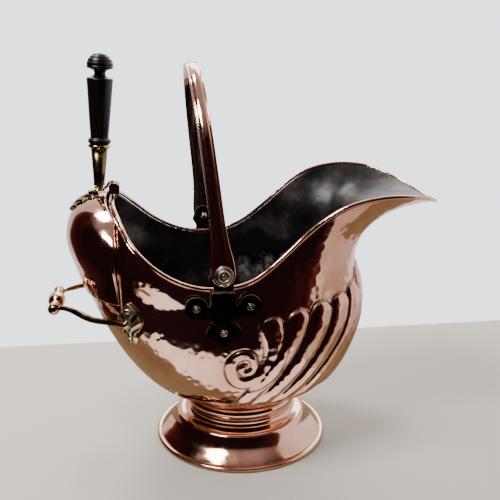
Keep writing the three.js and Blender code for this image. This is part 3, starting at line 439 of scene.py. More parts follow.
# ------------------------------
# The foot. Spun from a copper disc on a lathe: a bead and a cove under the bowl, a shoulder,
# a wide slope and an edge rolled over a wire.
FOOT_LINE = np.array([
    [60.5, 58.6], [62.6, 58], [65.6, 56.4], [67.4, 53.6], [67.6, 50.6], [66.2, 47.6], [64, 44.8],
    [62.8, 41.6], [63.2, 38.4], [65.6, 35.8], [70, 34.2], [74.5, 33.4], [77.8, 31.8], [79.8, 29.2],
    [81.3, 26], [83.2, 22.6], [86, 19], [90, 15.3], [94.6, 11.2], [98, 8], [99.9, 6.1]])


def turned(name, profile, body, material, axis="Z", place=(0, 0, 0), tilt=0.0, segments=40,
           closed=False):
    """A turned piece: points (r cos a, r sin a, h) of a profile, laid along Z, Y or -Y, tilted about
    Y and put in its place."""
    a = np.linspace(0, 2 * np.pi, segments, endpoint=False)
    r, h = np.asarray(profile, float).T[..., None]
    grid = np.stack([r * np.cos(a), r * np.sin(a), h + 0 * a], -1)
    if axis != "Z":
        way = -1.0 if axis == "-Y" else 1.0
        grid = np.stack([grid[..., 0], way * grid[..., 2], grid[..., 1]], -1)
    c, s = math.cos(tilt), math.sin(tilt)
    grid = grid @ np.array([[c, 0, -s], [0, 1, 0], [s, 0, c]]) + np.asarray(place, float)
    return ring_solid(name, grid, body, [material], closed=closed)


def smooth_profile(points, count):
    """A smooth line through profile points, spaced evenly by the length of its chords."""
    points = np.asarray(points, float)
    reach = np.concatenate([[0], np.cumsum(np.linalg.norm(np.diff(points, axis=0), axis=1))])
    at = np.linspace(0, reach[-1], count)
    return np.stack([spline(reach, points[:, i], at) for i in (0, 1)], -1)


foot_outside = smooth_profile(FOOT_LINE, 90)
slope = unit(np.gradient(foot_outside, axis=0))
foot_inside = foot_outside + SHEET * np.stack([slope[:, 1], -slope[:, 0]], -1)
FOOT_COPPER = polished_copper("spun copper", marks=0.55, mark_size=0.02)
foot = turned("foot_spun", np.concatenate([foot_outside, foot_inside[::-1]]), "scuttle", FOOT_COPPER,
              segments=160, closed=True)
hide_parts("foot_pedestal")

EDGE_ROLL, EDGE_MIDDLE, EDGE_SIDES = 3, 102, 20  # the rolled edge's radius, place and facets


FACET = 360 / EDGE_SIDES  # it stands on the ground on one of them


def arc(x, z, radius, start, end, steps):
    """Points (x + r cos a, z + r sin a), with a from start to end in degrees."""
    a = np.radians(np.linspace(start, end, steps + 1))
    return np.stack([x + radius * np.cos(a), z + radius * np.sin(a)], -1)


edge_line = arc(EDGE_MIDDLE, EDGE_ROLL, EDGE_ROLL, FACET / 2, 360 - FACET / 2, EDGE_SIDES - 1)
edge = turned("foot_edge", edge_line, "scuttle", FOOT_COPPER, segments=160, closed=True)
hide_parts("foot_rolled_edge")

# ------------------------------
# The bail's lugs. A cast trefoil plate on each side, riveted flat to the wall by three
# round-headed rivets, with an ear that steps out over the rim to carry the pivot.
PIVOT = np.array([-33, 0, 249.5])
LUG_FACE, LUG_THICK, LUG_STEP = 125, 3, 1.6
STEP_LOW, STEP_HIGH = -23, -17  # under the pivot, where the ear steps out


def lug_outline():
    """Half the trefoil from the ear's top to the tail's tip, then its mirror image."""
    half = np.concatenate([
        arc(0, 0, 12, 90, 10, 18), [[14, -2.6], [14.6, -5], [14, -7.4], [11.6, -10.4], [10.2, -13.4],
                                    [10.2, -16.6], [11.4, -20], [12.8, -23], [12.9, -27], [12.7, -31]],
        arc(14.7, -34.2, 2, 190, 320, 6), arc(28, -36.5, 11.5, 168, -90, 35),
        [[22.5, -48.4], [18.5, -48.9]], arc(12, -53, 3.2, 70, 240, 8),
        [[14.4, -57.5], [17, -61], [18.2, -64], [17.8, -67.5], [14.5, -71], [9.5, -73.6], [5, -75.9],
         [2, -78.9], [0, -82]]])
    return np.concatenate([half, half[-2:0:-1] * [-1, 1]])


def antique_brass():
    """Cast brass left to tone nearly black."""
    material, tree = new_material("toned cast brass")
    place = add(tree, "TexCoord").outputs["Object"]
    cloud = add(tree, "TexNoise", {"Vector": place}, Scale=120.0, Detail=5.0, Roughness=0.65)
    tint = add(tree, "ValToRGB", {"Fac": cloud}, [(0.4, "26231D"), (0.82, "6E6552")])
    rough = add(tree, "MapRange", {"Value": cloud}, From_Min=0.3, From_Max=0.8, To_Min=0.2, To_Max=0.42)
    bump = add(tree, "Bump", {"Height": cloud}, Strength=0.25, Distance=0.0006)
    finish_material(tree, {"Base Color": tint, "Roughness": rough, "Normal": bump}, Metallic=1.0)
    return material


def polished_brass(name, light, dark, rough=(0.1, 0.26), hollow="1E1710", metallic=1.0):
    """Buffed brass, yellow against the copper, with its roughness varying at random, and near black
    where the tooled attribute marks its carving."""
    material, tree = new_material(name)
    place = add(tree, "TexCoord").outputs["Object"]
    cloud = add(tree, "TexNoise", {"Vector": place}, Scale=70.0, Detail=4.0)
    tint = add(tree, "ValToRGB", {"Fac": cloud}, [(0.35, dark), (0.6, light)])
    line = add(tree, "Attribute", attribute_name="tooled")
    mixed = add(tree, "Mix", {"Factor": line.outputs["Fac"], 6: tint,
                                        7: srgb(hollow)}, data_type="RGBA")
    gloss = add(tree, "MapRange", {"Value": cloud},
                From_Min=0.3, From_Max=0.8, To_Min=rough[0], To_Max=rough[1])
    finish_material(tree, {"Base Color": mixed.outputs[2], "Roughness": gloss}, Metallic=metallic)
    return material


LUG_BRASS = antique_brass()
LUG_EDGE = polished_brass("rubbed brass", "EFE6D2", "A79A80", rough=(0.22, 0.42))
RIVET_BRASS = polished_brass("toned brass rivet", "BFB299", "5A5142", rough=(0.15, 0.3))
# Pale, half-metal brass on the plates' rounded edges: a painted glint for the light the edge catches.
LUG_EDGE_GLINT = polished_brass("brass edge painted glint", "F2E6CC", "C9B996", rough=(0.4, 0.6), metallic=0.35)


def prism(name, outline, start, end, materials):
    """An outline in the XZ plane carried along Y from start to end, on the scuttle's body."""
    count = len(outline)
    points = np.zeros((2 * count, 3))
    points[:, [0, 2]] = np.tile(outline, (2, 1))
    points[:, 1] = np.repeat([start, end], count)
    faces = [list(range(count)), list(range(2 * count - 1, count - 1, -1))]
    faces += [[i, (i + 1) % count, count + (i + 1) % count, count + i] for i in range(count)]
    return make_mesh(name, points, faces, "scuttle", materials, smoothed=False)


def round_edges(piece, width, angle, slot=-1):
    """Bevels, of a width in mm, the edges that turn by more than an angle in degrees."""
    bevel = piece.modifiers.new("rounded edge", "BEVEL")
    bevel.width, bevel.segments, bevel.material = width / 1000, 3, slot
    bevel.limit_method, bevel.angle_limit = "ANGLE", math.radians(angle)


def lug_plate(name, side, node):
    """The outline thickened and cut across where the ear steps out, by a smooth step of the
    height. Its edges are rounded and take a pale, half-metal brass: a painted glint where the
    rounded edge catches the light."""
    plate = prism(name, lug_outline() + PIVOT[[0, 2]], side * LUG_FACE, side * (LUG_FACE + LUG_THICK),
                  [LUG_BRASS, LUG_EDGE_GLINT])
    work = bmesh.new()
    work.from_mesh(plate.data)
    for z in np.arange(STEP_LOW - 1.5, STEP_HIGH + 2, 1.0):
        bmesh.ops.bisect_plane(work, geom=work.verts[:] + work.edges[:] + work.faces[:],
                               plane_co=(0, 0, (z + PIVOT[2]) / 1000), plane_no=(0, 0, 1))
    for v in work.verts:
        step = smooth(v.co.z * 1000 - PIVOT[2], STEP_LOW, STEP_HIGH)
        v.co.y += side * LUG_STEP / 1000 * float(step)
    work.to_mesh(plate.data)
    work.free()
    round_edges(plate, 1.3, 50, slot=1)
    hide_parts(node)


LUG_RIVETS = {"back": (-28, -36.5), "front": (28, -36.5), "low": (0, -64.5)}
# A rivet's head from its rim to its crown, with a ring pressed round it by the setting tool.
RIVET_LINE = smooth_profile([[4, 0], [4.05, 0.9], [3.7, 1.6], [3.2, 1.5], [2.9, 0.8], [2.4, 0.6],
                             [1.9, 0.9], [1.1, 1.7], [0.05, 1.9]], 32)
for side, axis, word in ((-1, "-Y", "near"), (1, "Y", "far")):
    lug_plate(f"lug_{word}", side, f"lug_plate_{word}")
    for spot, (x, z) in LUG_RIVETS.items():
        head = turned(f"lug_rivet_head_{spot}_{word}", RIVET_LINE + [0, LUG_FACE + LUG_THICK + 0.1],
                      "scuttle", RIVET_BRASS, axis, PIVOT + [x, 0, z], segments=28)
        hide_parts(f"lug_rivet_{spot}_{word}")

# ------------------------------
# The pivots. A bolt on each side goes through the bail's eye and the lug's ear, with a ringed
# washer under its head and a small ball nut inside.
EAR_FACE = LUG_FACE + LUG_STEP
EYE_FACE = EAR_FACE + LUG_THICK + 0.5
EYE_THICK, AIR = 3.5, 0.3
WASHER_FACE = EYE_FACE + EYE_THICK + AIR
HEAD_FACE = WASHER_FACE + 1.6 + AIR
BORE, SHANK, SHANK_LENGTH = 3.8, 3.5, 13
WASHER_LINE = smooth_profile([[9.5, 0], [9.65, 0.8], [9.3, 1.8], [8.6, 1.9], [8.1, 1.1], [7.6, 0.6],
                              [6.8, 0.6], [BORE, 0.6]], 36)
BOLT_LINE = smooth_profile([[6.2, 0], [6.4, 1], [6, 2.2], [5.3, 2.4], [4.8, 1.7], [4.3, 0.9], [3.3, 0.8],
                            [2.7, 1], [2.3, 1.9], [1.2, 2.3], [0.05, 2.4]], 40)
NUT_LINE = smooth_profile([[4.5, 0], [4.6, 1.5], [4.4, 3.2], [3.7, 4.8], [2.8, 6], [1.6, 7],
                           [0.05, 7.3]], 26)
RING = np.concatenate([[[BORE, 0]], WASHER_LINE]) + [0, WASHER_FACE]
BOLT = np.concatenate([[[SHANK, -SHANK_LENGTH], [SHANK, -0.02]], BOLT_LINE]) + [0, HEAD_FACE]
NUT = NUT_LINE * [1, -1] + [0, EAR_FACE - AIR]
for axis, word in (("-Y", "near"), ("Y", "far")):
    for name, line, segments, closed, node, slot in (
            ("ring", RING, 48, True, "washer", "dark_brass"),
            ("head", BOLT, 40, False, "bolt", "dark_brass"), ("ball", NUT, 32, False, "nut", "brass")):
        fitting = turned(f"pivot_{name}_{word}", line, "scuttle", LUG_EDGE, axis, PIVOT,
                         segments=segments, closed=closed)
        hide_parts(f"pivot_{node}_{word}")

# ------------------------------
# The bail. A copper strap with a crowned face between beaded edges, bent into a tall arch and
# spread into a round eye at each end. It leans back a little as it stands.
BAIL_HEIGHT, BAIL_POWER, BAIL_LEAN = 203, 2.3, math.radians(5.7)
BAIL_SPAN = EYE_FACE + 2.5
EYE_RADIUS, EYE_TIP, EYE_ROWS = 12.5, 0.06, 16
STRAP_LIFT = 2.5  # half the strap's thickness, from its middle
# Heights over the pivot, and half the strap's width there.
STRAP_HEIGHTS = [0, 14, 24, 46, 82, 140, 230]
STRAP_HALVES = [12.5, 12, 10.4, 8.2, 7.5, 7.3, 7.3]
# The strap's section: a share of half its width, and of its lift.
STRAP_ACROSS = np.array([-1, -1, -0.98, -0.93, -0.87, -0.82, -0.76, -0.6, -0.4, -0.2, 0, 0.2, 0.4, 0.6,
                         0.76, 0.82, 0.87, 0.93, 0.98, 1, 1, 0.8, 0, -0.8])
STRAP_OUT = np.array([-0.7, -0.1, 0.25, 0.42, 0.4, 0.2, 0.22, 0.5, 0.78, 0.95, 1, 0.95, 0.78, 0.5, 0.22,
                      0.2, 0.4, 0.42, 0.25, -0.1, -0.7, -1, -1, -1])
BAIL_COPPER = polished_copper("drawn copper strap", marks=0.05)


def bail_rings():
    """A rounded square arch, y^n + z^n = 1 in shares of its half span and height, with straight
    feet, carrying a section that is crowned between two beads. Its width follows the height, and
    is a circle's at the eyes, where the strap is slimmer too."""
    low = -EYE_RADIUS * np.cos(np.linspace(EYE_TIP, np.pi / 2, EYE_ROWS, endpoint=False))
    t = np.pi * np.linspace(0.002, 0.998, 150)
    y = -np.sign(np.cos(t)) * BAIL_SPAN * np.abs(np.cos(t)) ** (2 / BAIL_POWER)
    z = BAIL_HEIGHT * np.sin(t) ** (2 / BAIL_POWER)
    path = np.concatenate([
        np.stack([0 * low - BAIL_SPAN, low], -1), np.stack([y, z], -1),
        np.stack([0 * low + BAIL_SPAN, low], -1)[::-1]])
    along = unit(np.gradient(path, axis=0))
    along[:EYE_ROWS - 2], along[2 - EYE_ROWS:] = [0, 1], [0, -1]
    out = np.stack([-along[:, 1], along[:, 0]], -1)
    height = path[:, 1]
    half = np.where(height < 0, np.sqrt(np.maximum(EYE_RADIUS**2 - height**2, 0)),
                    spline(STRAP_HEIGHTS, STRAP_HALVES, np.maximum(height, 0)))
    slim = (1 - smooth(height, 10.5, 20.5))[:, None]
    lift = STRAP_OUT * STRAP_LIFT - slim * (STRAP_OUT + 1) / 2 * 1.5
    rings = np.empty((len(path), len(STRAP_ACROSS), 3))
    rings[..., 0] = STRAP_ACROSS * half[:, None]
    rings[..., 1:] = path[:, None] + out[:, None] * lift[..., None]
    c, s = math.cos(-BAIL_LEAN), math.sin(-BAIL_LEAN)
    return rings @ np.array([[c, 0, -s], [0, 1, 0], [s, 0, c]]) + PIVOT


bail = ring_solid("bail_strap", bail_rings(), "bail", [BAIL_COPPER])
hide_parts("bail")

# ------------------------------
# The shovel's blade. A hood of copper sheet, raised to lie round the scuttle's back, with its
# deepest swell under the leaf.
BLADE_UP = [0, 0.15, 0.3, 0.45, 0.6, 0.75, 0.88, 1]
BLADE_DEPTH = [1, 2, 4.5, 8, 11, 13.5, 10.5, 3.5]
BLADE_TOP = 0.985  # share of the wall at its upper edge
BLADE_FOOT = 205  # height of its lower edge


def blade_half(up):
    return spline([0, 0.4, 0.7, 0.85, 1], [31.5, 33, 34, 32.5, 26], up)


def blade_point(across, up, lift):
    """The wall's surface behind, moved out by the hood's depth times (1 - s^2)^0.75, where s is the
    share of the way out to its edges; across and up run from 0 to 1."""
    side = 2 * across - 1
    angle = np.pi + side * np.radians(blade_half(up))
    share = share_at_height(angle, BLADE_FOOT) * (1 - up) + BLADE_TOP * up
    hood = spline(BLADE_UP, BLADE_DEPTH, up) * np.maximum(0, 1 - side**2) ** 0.75
    return off_wall(angle, share, 1 + hood + lift)


def plate_between(name, outer, inner, across, along, body, material, hollow=None):
    """A plate with an outer and an inner face, each a function of two shares, as is the hollow
    that darkens its carving."""
    v, u = np.meshgrid(np.linspace(0, 1, along), np.linspace(0, 1, across), indexing="ij")
    grid = np.concatenate([outer(u, v), inner(u, v)[:, ::-1]], 1)
    plate = ring_solid(name, grid, body, [material], strip=True)
    if hollow:
        carved = plate.data.attributes.new("tooled", "FLOAT", "POINT")
        carved.data.foreach_set("value", np.concatenate([hollow(u, v), 0 * u], 1).ravel())
    return plate


BLADE_COPPER = polished_copper("raised copper", light="E9BBAC", dark="C08C78", marks=0.5,
                               mark_size=0.016)
blade = plate_between("shovel_hood", lambda u, v: blade_point(u, v, SHEET),
                      lambda u, v: blade_point(u, v, 0), 90, 80, "shovel", BLADE_COPPER)
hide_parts("shovel_blade")

# ------------------------------
# The shovel's handle. Ebonised hardwood turned with a mushroom end, over a brass collar and a
# tapered brass ferrule.
SHOVEL_PLACE, SHOVEL_TILT = (-159.6, 0, 319), math.radians(3.54)


def ebonised_wood():
    """Turned hardwood stained black and polished, with its grain just showing."""
    material, tree = new_material("ebonised wood")
    place = add(tree, "TexCoord").outputs["Object"]
    stretch = add(tree, "Mapping", {"Vector": place}, Scale=(220, 220, 14))
    grain = add(tree, "TexNoise", {"Vector": stretch}, Scale=1.0, Detail=4.0)
    tint = add(tree, "ValToRGB", {"Fac": grain}, [(0.35, "080706"), (0.75, "15110F")])
    rough = add(tree, "MapRange", {"Value": grain}, From_Min=0.3, From_Max=0.8, To_Min=0.26, To_Max=0.4)
    bump = add(tree, "Bump", {"Height": grain}, Strength=0.08, Distance=0.0003)
    finish_material(tree, {"Base Color": tint, "Roughness": rough, "Normal": bump}, IOR=1.45)
    return material


EBONISED = ebonised_wood()
FERRULE_BRASS = polished_brass("toned drawn brass", "7E7150", "3C3320", rough=(0.16, 0.3))
COLLAR_BRASS = polished_brass("polished brass ring", "EBD9A8", "A08A58")
CAP_GROOVES, GROOVE_DEPTH = 5, 0.45
TANG_BORE = 3.4


def cap_dome():
    """The end's dome: (R cos^0.85, h + H sin) of a quarter turn, less a groove that is the squared
    upper half of a sine, five times up its side."""
    lap = np.linspace(0, 1, 90)
    wave = np.maximum(0, np.sin(2 * np.pi * CAP_GROOVES * lap)) ** 2
    groove = GROOVE_DEPTH * wave * (lap < 0.85)
    return np.stack([(14.5 - groove) * np.cos(lap * np.pi / 2) ** 0.85 + 0.02,
                     130.2 + (14.2 - groove) * np.sin(lap * np.pi / 2)], -1)


handle_line = np.concatenate([
    [[TANG_BORE, 46.9]],
    smooth_profile([[10.4, 46.9], [12, 47.9], [12.6, 49.8], [12, 51.8], [10.6, 53], [10, 54.2],
                    [10.1, 56]], 24),
    [[11.3, 72], [12.5, 90], [13.7, 108], [14.3, 116.4], [14.3, 117.4], [13.9, 118]],
    smooth_profile([[13.4, 118.2], [9.4, 119.4], [7, 121], [6.1, 123.2], [6.8, 125.4], [9.6, 127],
                    [12.6, 128], [14.1, 129]], 26), cap_dome()])
collar_line = smooth_profile([[9.6, 40.1], [9.9, 41.6], [10.6, 42.6], [12, 43], [12.6, 44.2], [12.1, 45.6],
                              [11, 46.5]], 40)
collar_line = np.concatenate([[[TANG_BORE, 40.1]], collar_line, [[TANG_BORE, 46.6]]])
ferrule_line = [[TANG_BORE, 0], [6, 0], [6.5, 0.5], [6.6, 1.4], [6.3, 2.2], [6, 2.8], [6.2, 5],
                [9.2, 39.8], [TANG_BORE, 39.8]]
for name, line, material, segments, closed, node, slot in (
        ("shovel_grip", handle_line, EBONISED, 72, False, "shovel_handle", "ebonised_wood"),
        ("shovel_beads", collar_line, COLLAR_BRASS, 64, True, "shovel_collar", "brass"),
        ("shovel_socket", ferrule_line, FERRULE_BRASS, 64, True, "shovel_ferrule", "brass")):
    piece = turned(name, line, "shovel", material, place=SHOVEL_PLACE, tilt=SHOVEL_TILT,
                   segments=segments, closed=closed)
    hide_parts(node)

# ------------------------------
# The leaf. A scalloped brass casting brazed along the hood's crown; its stem carries the tang
# and curls forward into the tail that hangs on the keeper.
LEAF_BRASS = polished_brass("cast brass leaf", "DCC489", "5F4B2A")
LEAF_HALF, LEAF_ROOT, LEAF_TIP = 14, 0.95, 0.68  # its half width, and its ends as shares of the hood


def leaf_point(across, along, lift):
    """A point of the leaf on the hood: half its width is a sine's bow, less a cosine that cuts
    three scallops into it."""
    side = 2 * across - 1
    outline = np.sin(np.pi * (0.22 + 0.76 * along)) ** 0.6 * (1 - 0.14 * np.cos(6 * np.pi * along))
    up = LEAF_ROOT + (LEAF_TIP - LEAF_ROOT) * along
    middle = blade_point(np.full_like(up, 0.5), up, 0)
    arc_length = np.abs(middle[..., 0]) * np.radians(blade_half(up))
    return blade_point(0.5 + side * LEAF_HALF * outline / (2 * arc_length), up, SHEET + AIR + lift)


def leaf_vein(u, v):
    """Side veins: a sine of the way along plus a share of the way out, dying at rib and edge."""
    side = np.abs(2 * u - 1)
    return np.sin(2 * np.pi * (3.2 * v + 0.9 * side)) * (1 - side) * side * 4


def leaf_crown(u, v):
    """Thickness: a mid rib that falls to the edges, with side veins as a slanted wave."""
    side = np.abs(2 * u - 1)
    return 1.3 + 2.6 * (1 - side**1.5) * (1 - 0.4 * v) + 0.6 * leaf_vein(u, v)


leaf = plate_between("shovel_leaf", lambda u, v: leaf_point(u, v, leaf_crown(u, v)),
                     lambda u, v: leaf_point(u, v, 0 * u), 33, 70, "shovel", LEAF_BRASS,
                     lambda u, v: smooth(-leaf_vein(u, v), 0.1, 0.7))
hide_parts("shovel_leaf_hook")

TAIL_POINTS = 50
tail_line = smooth_profile([[-172, 311.5], [-166, 313.6], [-160, 314.5], [-154.8, 315.1],
                            [-151.2, 317.4], [-149.4, 320.4], [-147, 322.5], [-143.5, 322.6]], TAIL_POINTS)


def strap_rings(line, half, thick, crown=0.0):
    """A strip along a line in the XZ plane: across Y by half its width, and by half its thickness
    along the line's own normal, crowned on one face."""
    along = unit(np.gradient(line, axis=0))
    w = np.array([-1, -0.94, -0.5, 0, 0.5, 0.94, 1, 1, 0.94, -0.94, -1])
    h = np.array([0.5, 1, 1, 1, 1, 1, 0.5, -0.5, -1, -1, -0.5]) * thick / 2
    h = h + crown * np.where(h > 0, 1 - w**2, 0)
    half = np.broadcast_to(half, len(line))[:, None]
    x = line[:, None, 0] - along[:, None, 1] * h
    z = line[:, None, 1] + along[:, None, 0] * h
    return np.stack([x, w * half + 0 * x, z], -1)


taper = 4.5 - 1.2 * np.linspace(0, 1, TAIL_POINTS) ** 3
tail = ring_solid("shovel_tail", strap_rings(tail_line, taper, 2.3, 0.3), "shovel", [LEAF_BRASS])
stem_line = smooth_profile([[6.2, -6], [6, -4.8], [5.2, -4], [5, -3], [5.4, -2.2], [5.2, -1.8],
                            [0.05, -1.8]], 24)
boss = turned("shovel_stem", stem_line, "shovel", LEAF_BRASS, place=SHOVEL_PLACE, tilt=SHOVEL_TILT)

# ------------------------------
# The keeper. A copper strip riveted inside the back and folded over the wired rim, where the
# shovel's tail hangs.
CAP_FRONT, CAP_BACK, CAP_LOW, CAP_HIGH, CAP_CORNER = -138.0, -148.5, 310.0, 320.9, 2.3
KEEPER_HALF, KEEPER_THICK = 7, 1.5
# The strip's lower end lies flat on the inside of the wall, between these shares of its line.
flange = off_wall(np.full(2, np.pi), np.array([0.88, 0.93]), np.full(2, -SHEET - 1 - KEEPER_THICK / 2))
keeper_line = smooth_profile(np.concatenate([
    flange[:, [0, 2]], [[-146.5, 302.2], [-142, 304], [-139.5, 306.5], [-138.8, 309],
                        [-138.8, CAP_LOW + 2]]]), 50)
keeper = ring_solid("keeper_strip", strap_rings(keeper_line, KEEPER_HALF, KEEPER_THICK), "scuttle",
                    [RIM_COPPER])
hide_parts("shovel_keeper")

head = prism("keeper_head", [
    [CAP_BACK, CAP_LOW], [CAP_FRONT, CAP_LOW], [CAP_FRONT, CAP_HIGH - CAP_CORNER],
    [CAP_FRONT - CAP_CORNER, CAP_HIGH], [CAP_BACK + CAP_CORNER, CAP_HIGH],
    [CAP_BACK, CAP_HIGH - CAP_CORNER]], -KEEPER_HALF, KEEPER_HALF, [RIM_COPPER])
round_edges(head, 0.5, 30)

# ------------------------------
# The rear handle. Two cast arms that end in riveted leaves hold a turned grip between their
# eyes on a rod. It is rigid, and tips the scuttle.
GRIP_PLACE = np.array([-216, 0, 184.0])
GRIP_HALF = 28
ARM_LINE = np.array([[-211.5, -30.8, 184.4], [-203, -34.5, 185.6], [-192, -44.5, 185.2],
                     [-181.5, -56, 183.7], [-171.3, -67, 183.2], [-160, -77, 184.4],
                     [-147, -86.7, 186.3]])
ARM_RADII = [2.3, 2.9, 3.5, 3.8, 3.6, 3.5, 4, 4.6]
ARM_END = 187  # height at which the arm comes to the wall
MOUNT_ANGLE, MOUNT_RADIUS = -math.radians(144.4), 154  # its bearing, and the wall's radius there
# The cast leaf's heights on the wall, and half its width at each.
MOUNT_HEIGHTS = [160, 165, 171, 176, 181, 187, 193, 198, 203, 210]
MOUNT_HALVES = [0.8, 4.5, 6.2, 5.2, 9.5, 13, 13.4, 10, 7.6, 0.8]
ARM_BRASS = polished_brass("cast brass arm", "DDBB94", "7C5A3A")
MOUNT_BRASS = polished_brass("cast brass mount", "F6E6C0", "9C875C", rough=(0.25, 0.45),
                             hollow="120E0A")
GRIP_COPPER = polished_copper("turned copper grip", light="EBC4AE", dark="B98262", marks=0.2)


def arm_rings(side):
    """A tube along a smooth line from the eye to the mount, thickest at the mount."""
    bearing = np.array([MOUNT_ANGLE])
    line = np.concatenate([ARM_LINE, off_wall(bearing, share_at_height(bearing, ARM_END), [6.0])])
    knots, t = np.linspace(0, 1, len(line)), np.linspace(0, 1, 70)
    path = np.stack([spline(knots, line[:, i], t) for i in range(3)], -1)
    along = unit(np.gradient(path, axis=0))
    return tube(path, along, spline(knots, ARM_RADII, t), 20) * [1, side, 1]


def mount_point(across, up, lift):
    """The mount's leaf on the wall: height and half width are splines along it."""
    knots = np.linspace(0, 1, len(MOUNT_HEIGHTS))
    angle = MOUNT_ANGLE - (2 * across - 1) * spline(knots, MOUNT_HALVES, up) / MOUNT_RADIUS
    return off_wall(angle, share_at_height(angle, spline(knots, MOUNT_HEIGHTS, up)), 0.6 + lift)


def mount_carving(u, v):
    """Lobes between veins: a sine of the way along less a share of the way out, on both sides of
    a plain rib."""
    side = np.abs(2 * u - 1)
    return np.sin(2 * np.pi * (3 * v - 0.7 * side)) * smooth(side, 0.1, 0.4) * np.sin(np.pi * v)


def mount_crown(u, v):
    """Thickness: domed along the middle, with lobes carved between its veins."""
    side = np.abs(2 * u - 1)
    return 2 + 3.2 * np.sin(np.pi * v) ** 0.7 * (1 - side**2) + 1.1 * mount_carving(u, v)


EYE_LINE = smooth_profile([[2.7, 0], [5.6, 0], [6.4, 0.8], [6.6, 2.5], [6.4, 4.2], [5.6, 5],
                           [2.7, 5]], 40)
BUTTON_LINE = smooth_profile([[4.5, 0], [4.6, 0.6], [3.9, 1.6], [2.4, 2.3], [0.05, 2.5]], 20)
for side, word, axis in ((1, "near", "-Y"), (-1, "far", "Y")):
    arm = ring_solid(f"handle_arm_cast_{word}", arm_rings(side), "scuttle", [ARM_BRASS])
    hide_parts(f"handle_arm_{word}")
    mount = plate_between(f"handle_leaf_{word}",
                          lambda u, v: mount_point(u, v, mount_crown(u, v)) * [1, side, 1],
                          lambda u, v: mount_point(u, v, 0 * u) * [1, side, 1], 31, 60, "scuttle",
                          MOUNT_BRASS, lambda u, v: smooth(-mount_carving(u, v), 0.15, 0.7))
    eye = turned(f"handle_eye_{word}", EYE_LINE + [0, GRIP_HALF + AIR], "scuttle", ARM_BRASS, axis,
                 GRIP_PLACE, closed=True)
    button = turned(f"handle_cap_{word}", BUTTON_LINE + [0, GRIP_HALF + 5.6], "scuttle", GRIP_COPPER,
                    axis, GRIP_PLACE, segments=32)
# Half the grip from its end to its middle, as radius and distance from the middle.
BALUSTER = np.array([
    [2.8, GRIP_HALF], [5, GRIP_HALF], [6.1, 27.3], [6.4, 26], [5.9, 24.7], [4.9, 23.7], [5.6, 22.4],
    [6.2, 21], [5.8, 19.6], [4.9, 18.6], [4.7, 16.8], [5.1, 15.2], [6.4, 13.2], [8, 9.8], [9.1, 5.8],
    [9.6, 2.4]])
grip_line = np.concatenate([BALUSTER, [[9.75, 0]], BALUSTER[::-1] * [1, -1]])
grip = turned("handle_baluster", grip_line, "scuttle", GRIP_COPPER, "-Y", GRIP_PLACE, segments=56,
              closed=True)
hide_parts("handle_grip")

# The nodes that stay keep the solids' shapes and take the finishes above.
for node, material in {
        "keeper_rivet_near": RIM_COPPER, "keeper_rivet_far": RIM_COPPER, "handle_rod": GRIP_COPPER,
        "handle_rivet_low_near": MOUNT_BRASS, "handle_rivet_high_near": MOUNT_BRASS,
        "handle_rivet_low_far": MOUNT_BRASS, "handle_rivet_high_far": MOUNT_BRASS,
        "shovel_tang": FERRULE_BRASS}.items():
    for slot in bpy.data.objects[node].material_slots:
        slot.material = material

# ------------------------------
# The stage. A plain pale floor and surround, a soft window and skylight, and the camera where the
# photograph was taken from. Cards and a dark room, which only the metal mirrors, give it its depth.
def card(name, left, right, front, back, height, material):
    """A level rectangle in metres."""
    mesh = bpy.data.meshes.new(name)
    mesh.from_pydata([(left, front, height), (right, front, height), (right, back, height),
                      (left, back, height)], [], [(0, 1, 2, 3)])
    mesh.materials.append(material)
    sheet = bpy.data.objects.new(name, mesh)
    bpy.context.scene.collection.objects.link(sheet)
    return sheet


def plain(name, code, glow=0.0):
    """A matt paint, which may glow a little as a lit card does."""
    material, tree = new_material(name)
    finish_material(tree, {}, Base_Color=srgb(code), Roughness=0.75, Emission_Color=srgb(code),
                    Emission_Strength=glow)
    return material


floor = card("floor", -1.4, 1.4, -0.5, 0.3, 0, plain("pale floor", "D8D2C6"))
floor.visible_glossy = False
# Cards on the floor that only the polished metal mirrors: stone-coloured under the object, white
# in front of it and pale beyond its spout. Each is left, right, front, back, colour and glow.
for name, left, right, front, back, code, glow in (
        ("stone_card", -0.33, 0.42, -0.13, 0.3, "B5A886", 0.35),
        ("white_card", -0.33, 0.2, -0.3, -0.13, "FFFFFF", 1.3),
        ("pale_card", 0.2, 0.42, -0.36, -0.13, "E6D8CE", 0.6),
        ("far_card", 0.42, 1.4, -0.36, 0.3, "E8DDD8", 0.6)):
    laid = card(name, left, right, front, back, -0.0005, plain(name.replace("_", " "), code, glow))
    laid.visible_camera = laid.visible_diffuse = laid.visible_shadow = False


def area_light(name, place, target, size, power):
    """A white panel lamp, in metres and watts, turned from its place to a target."""
    lamp = bpy.data.lights.new(name, "AREA")
    lamp.shape = "RECTANGLE"
    lamp.size, lamp.size_y = size
    lamp.energy = power
    holder = bpy.data.objects.new(name, lamp)
    bpy.context.scene.collection.objects.link(holder)
    way = np.array(target) - np.array(place)
    holder.location = place
    holder.rotation_euler = (math.atan2(math.hypot(way[0], way[1]), -way[2]), 0,
                             math.atan2(-way[0], way[1]))


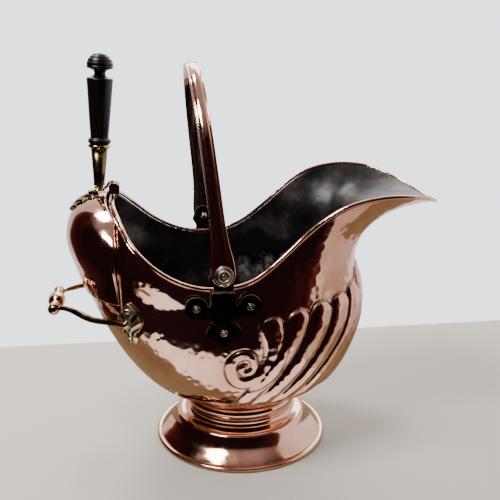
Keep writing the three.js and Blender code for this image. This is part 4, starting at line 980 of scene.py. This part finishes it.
area_light("window", (-1.0, -0.62, 1.95), (0, 0, 0.1), (0.8, 0.55), 45)
area_light("skylight", (-0.62, 0.85, 2.1), (0, 0, 0.2), (0.5, 0.5), 25)
area_light("wall_wash", (0.5, 2.2, 1.6), (0, 0, 0.2), (2.2, 1.4), 40)

world = bpy.data.worlds.new("surround")
bpy.context.scene.world = world
world.use_nodes = True
tree = world.node_tree
tree.nodes.clear()
bearing = add(tree, "TexCoord").outputs["Generated"]
height = add(tree, "SeparateXYZ", {"Vector": bearing}).outputs["Z"]
# The pale wall fills nearly half the turn round this bearing; the rest of the room is dark.
WALL_BEARING = math.radians(51)
toward = add(tree, "VectorMath", {
    0: bearing, 1: (math.cos(WALL_BEARING), math.sin(WALL_BEARING), 0)}, operation="DOT_PRODUCT")
facing = add(tree, "MapRange", {"Value": toward.outputs["Value"]}, From_Min=-1.0, From_Max=1.0)
room = add(tree, "ValToRGB", {"Fac": facing}, [
    (0.0, "20121A"), (0.3, "170D11"), (0.5, "34181A"), (0.585, "5E2E22"), (0.605, "E8E2E0"),
    (1.0, "F0F0F4")])
ceiling = add(tree, "MapRange", {"Value": height}, From_Min=0.72, From_Max=0.92)
lit = add(tree, "Mix", {0: ceiling, 6: room, 7: srgb("9C8E8C")}, data_type="RGBA")
mirrored = add(tree, "Background", {"Color": lit.outputs[2]}, Strength=1.35)
wall = add(tree, "Background", Color=srgb("E2E5EE"), Strength=3.1)
ray = add(tree, "LightPath")
shown = add(tree, "MixShader", {0: ray.outputs["Is Camera Ray"], 1: mirrored, 2: wall})
add(tree, "OutputWorld", {"Surface": shown})

SENSOR, FOCAL, FRAME = 36, 740, 500  # in mm, and in pixels of the photograph
lens = bpy.data.cameras.new("camera")
lens.lens = SENSOR * FOCAL / FRAME
lens.sensor_width = SENSOR
camera = bpy.data.objects.new("camera", lens)
bpy.context.scene.collection.objects.link(camera)
camera.location = (-0.1046, -0.8375, 0.485)
camera.rotation_euler = (math.radians(90 - 16.44), 0, math.radians(-7.94))
bpy.context.scene.camera = camera
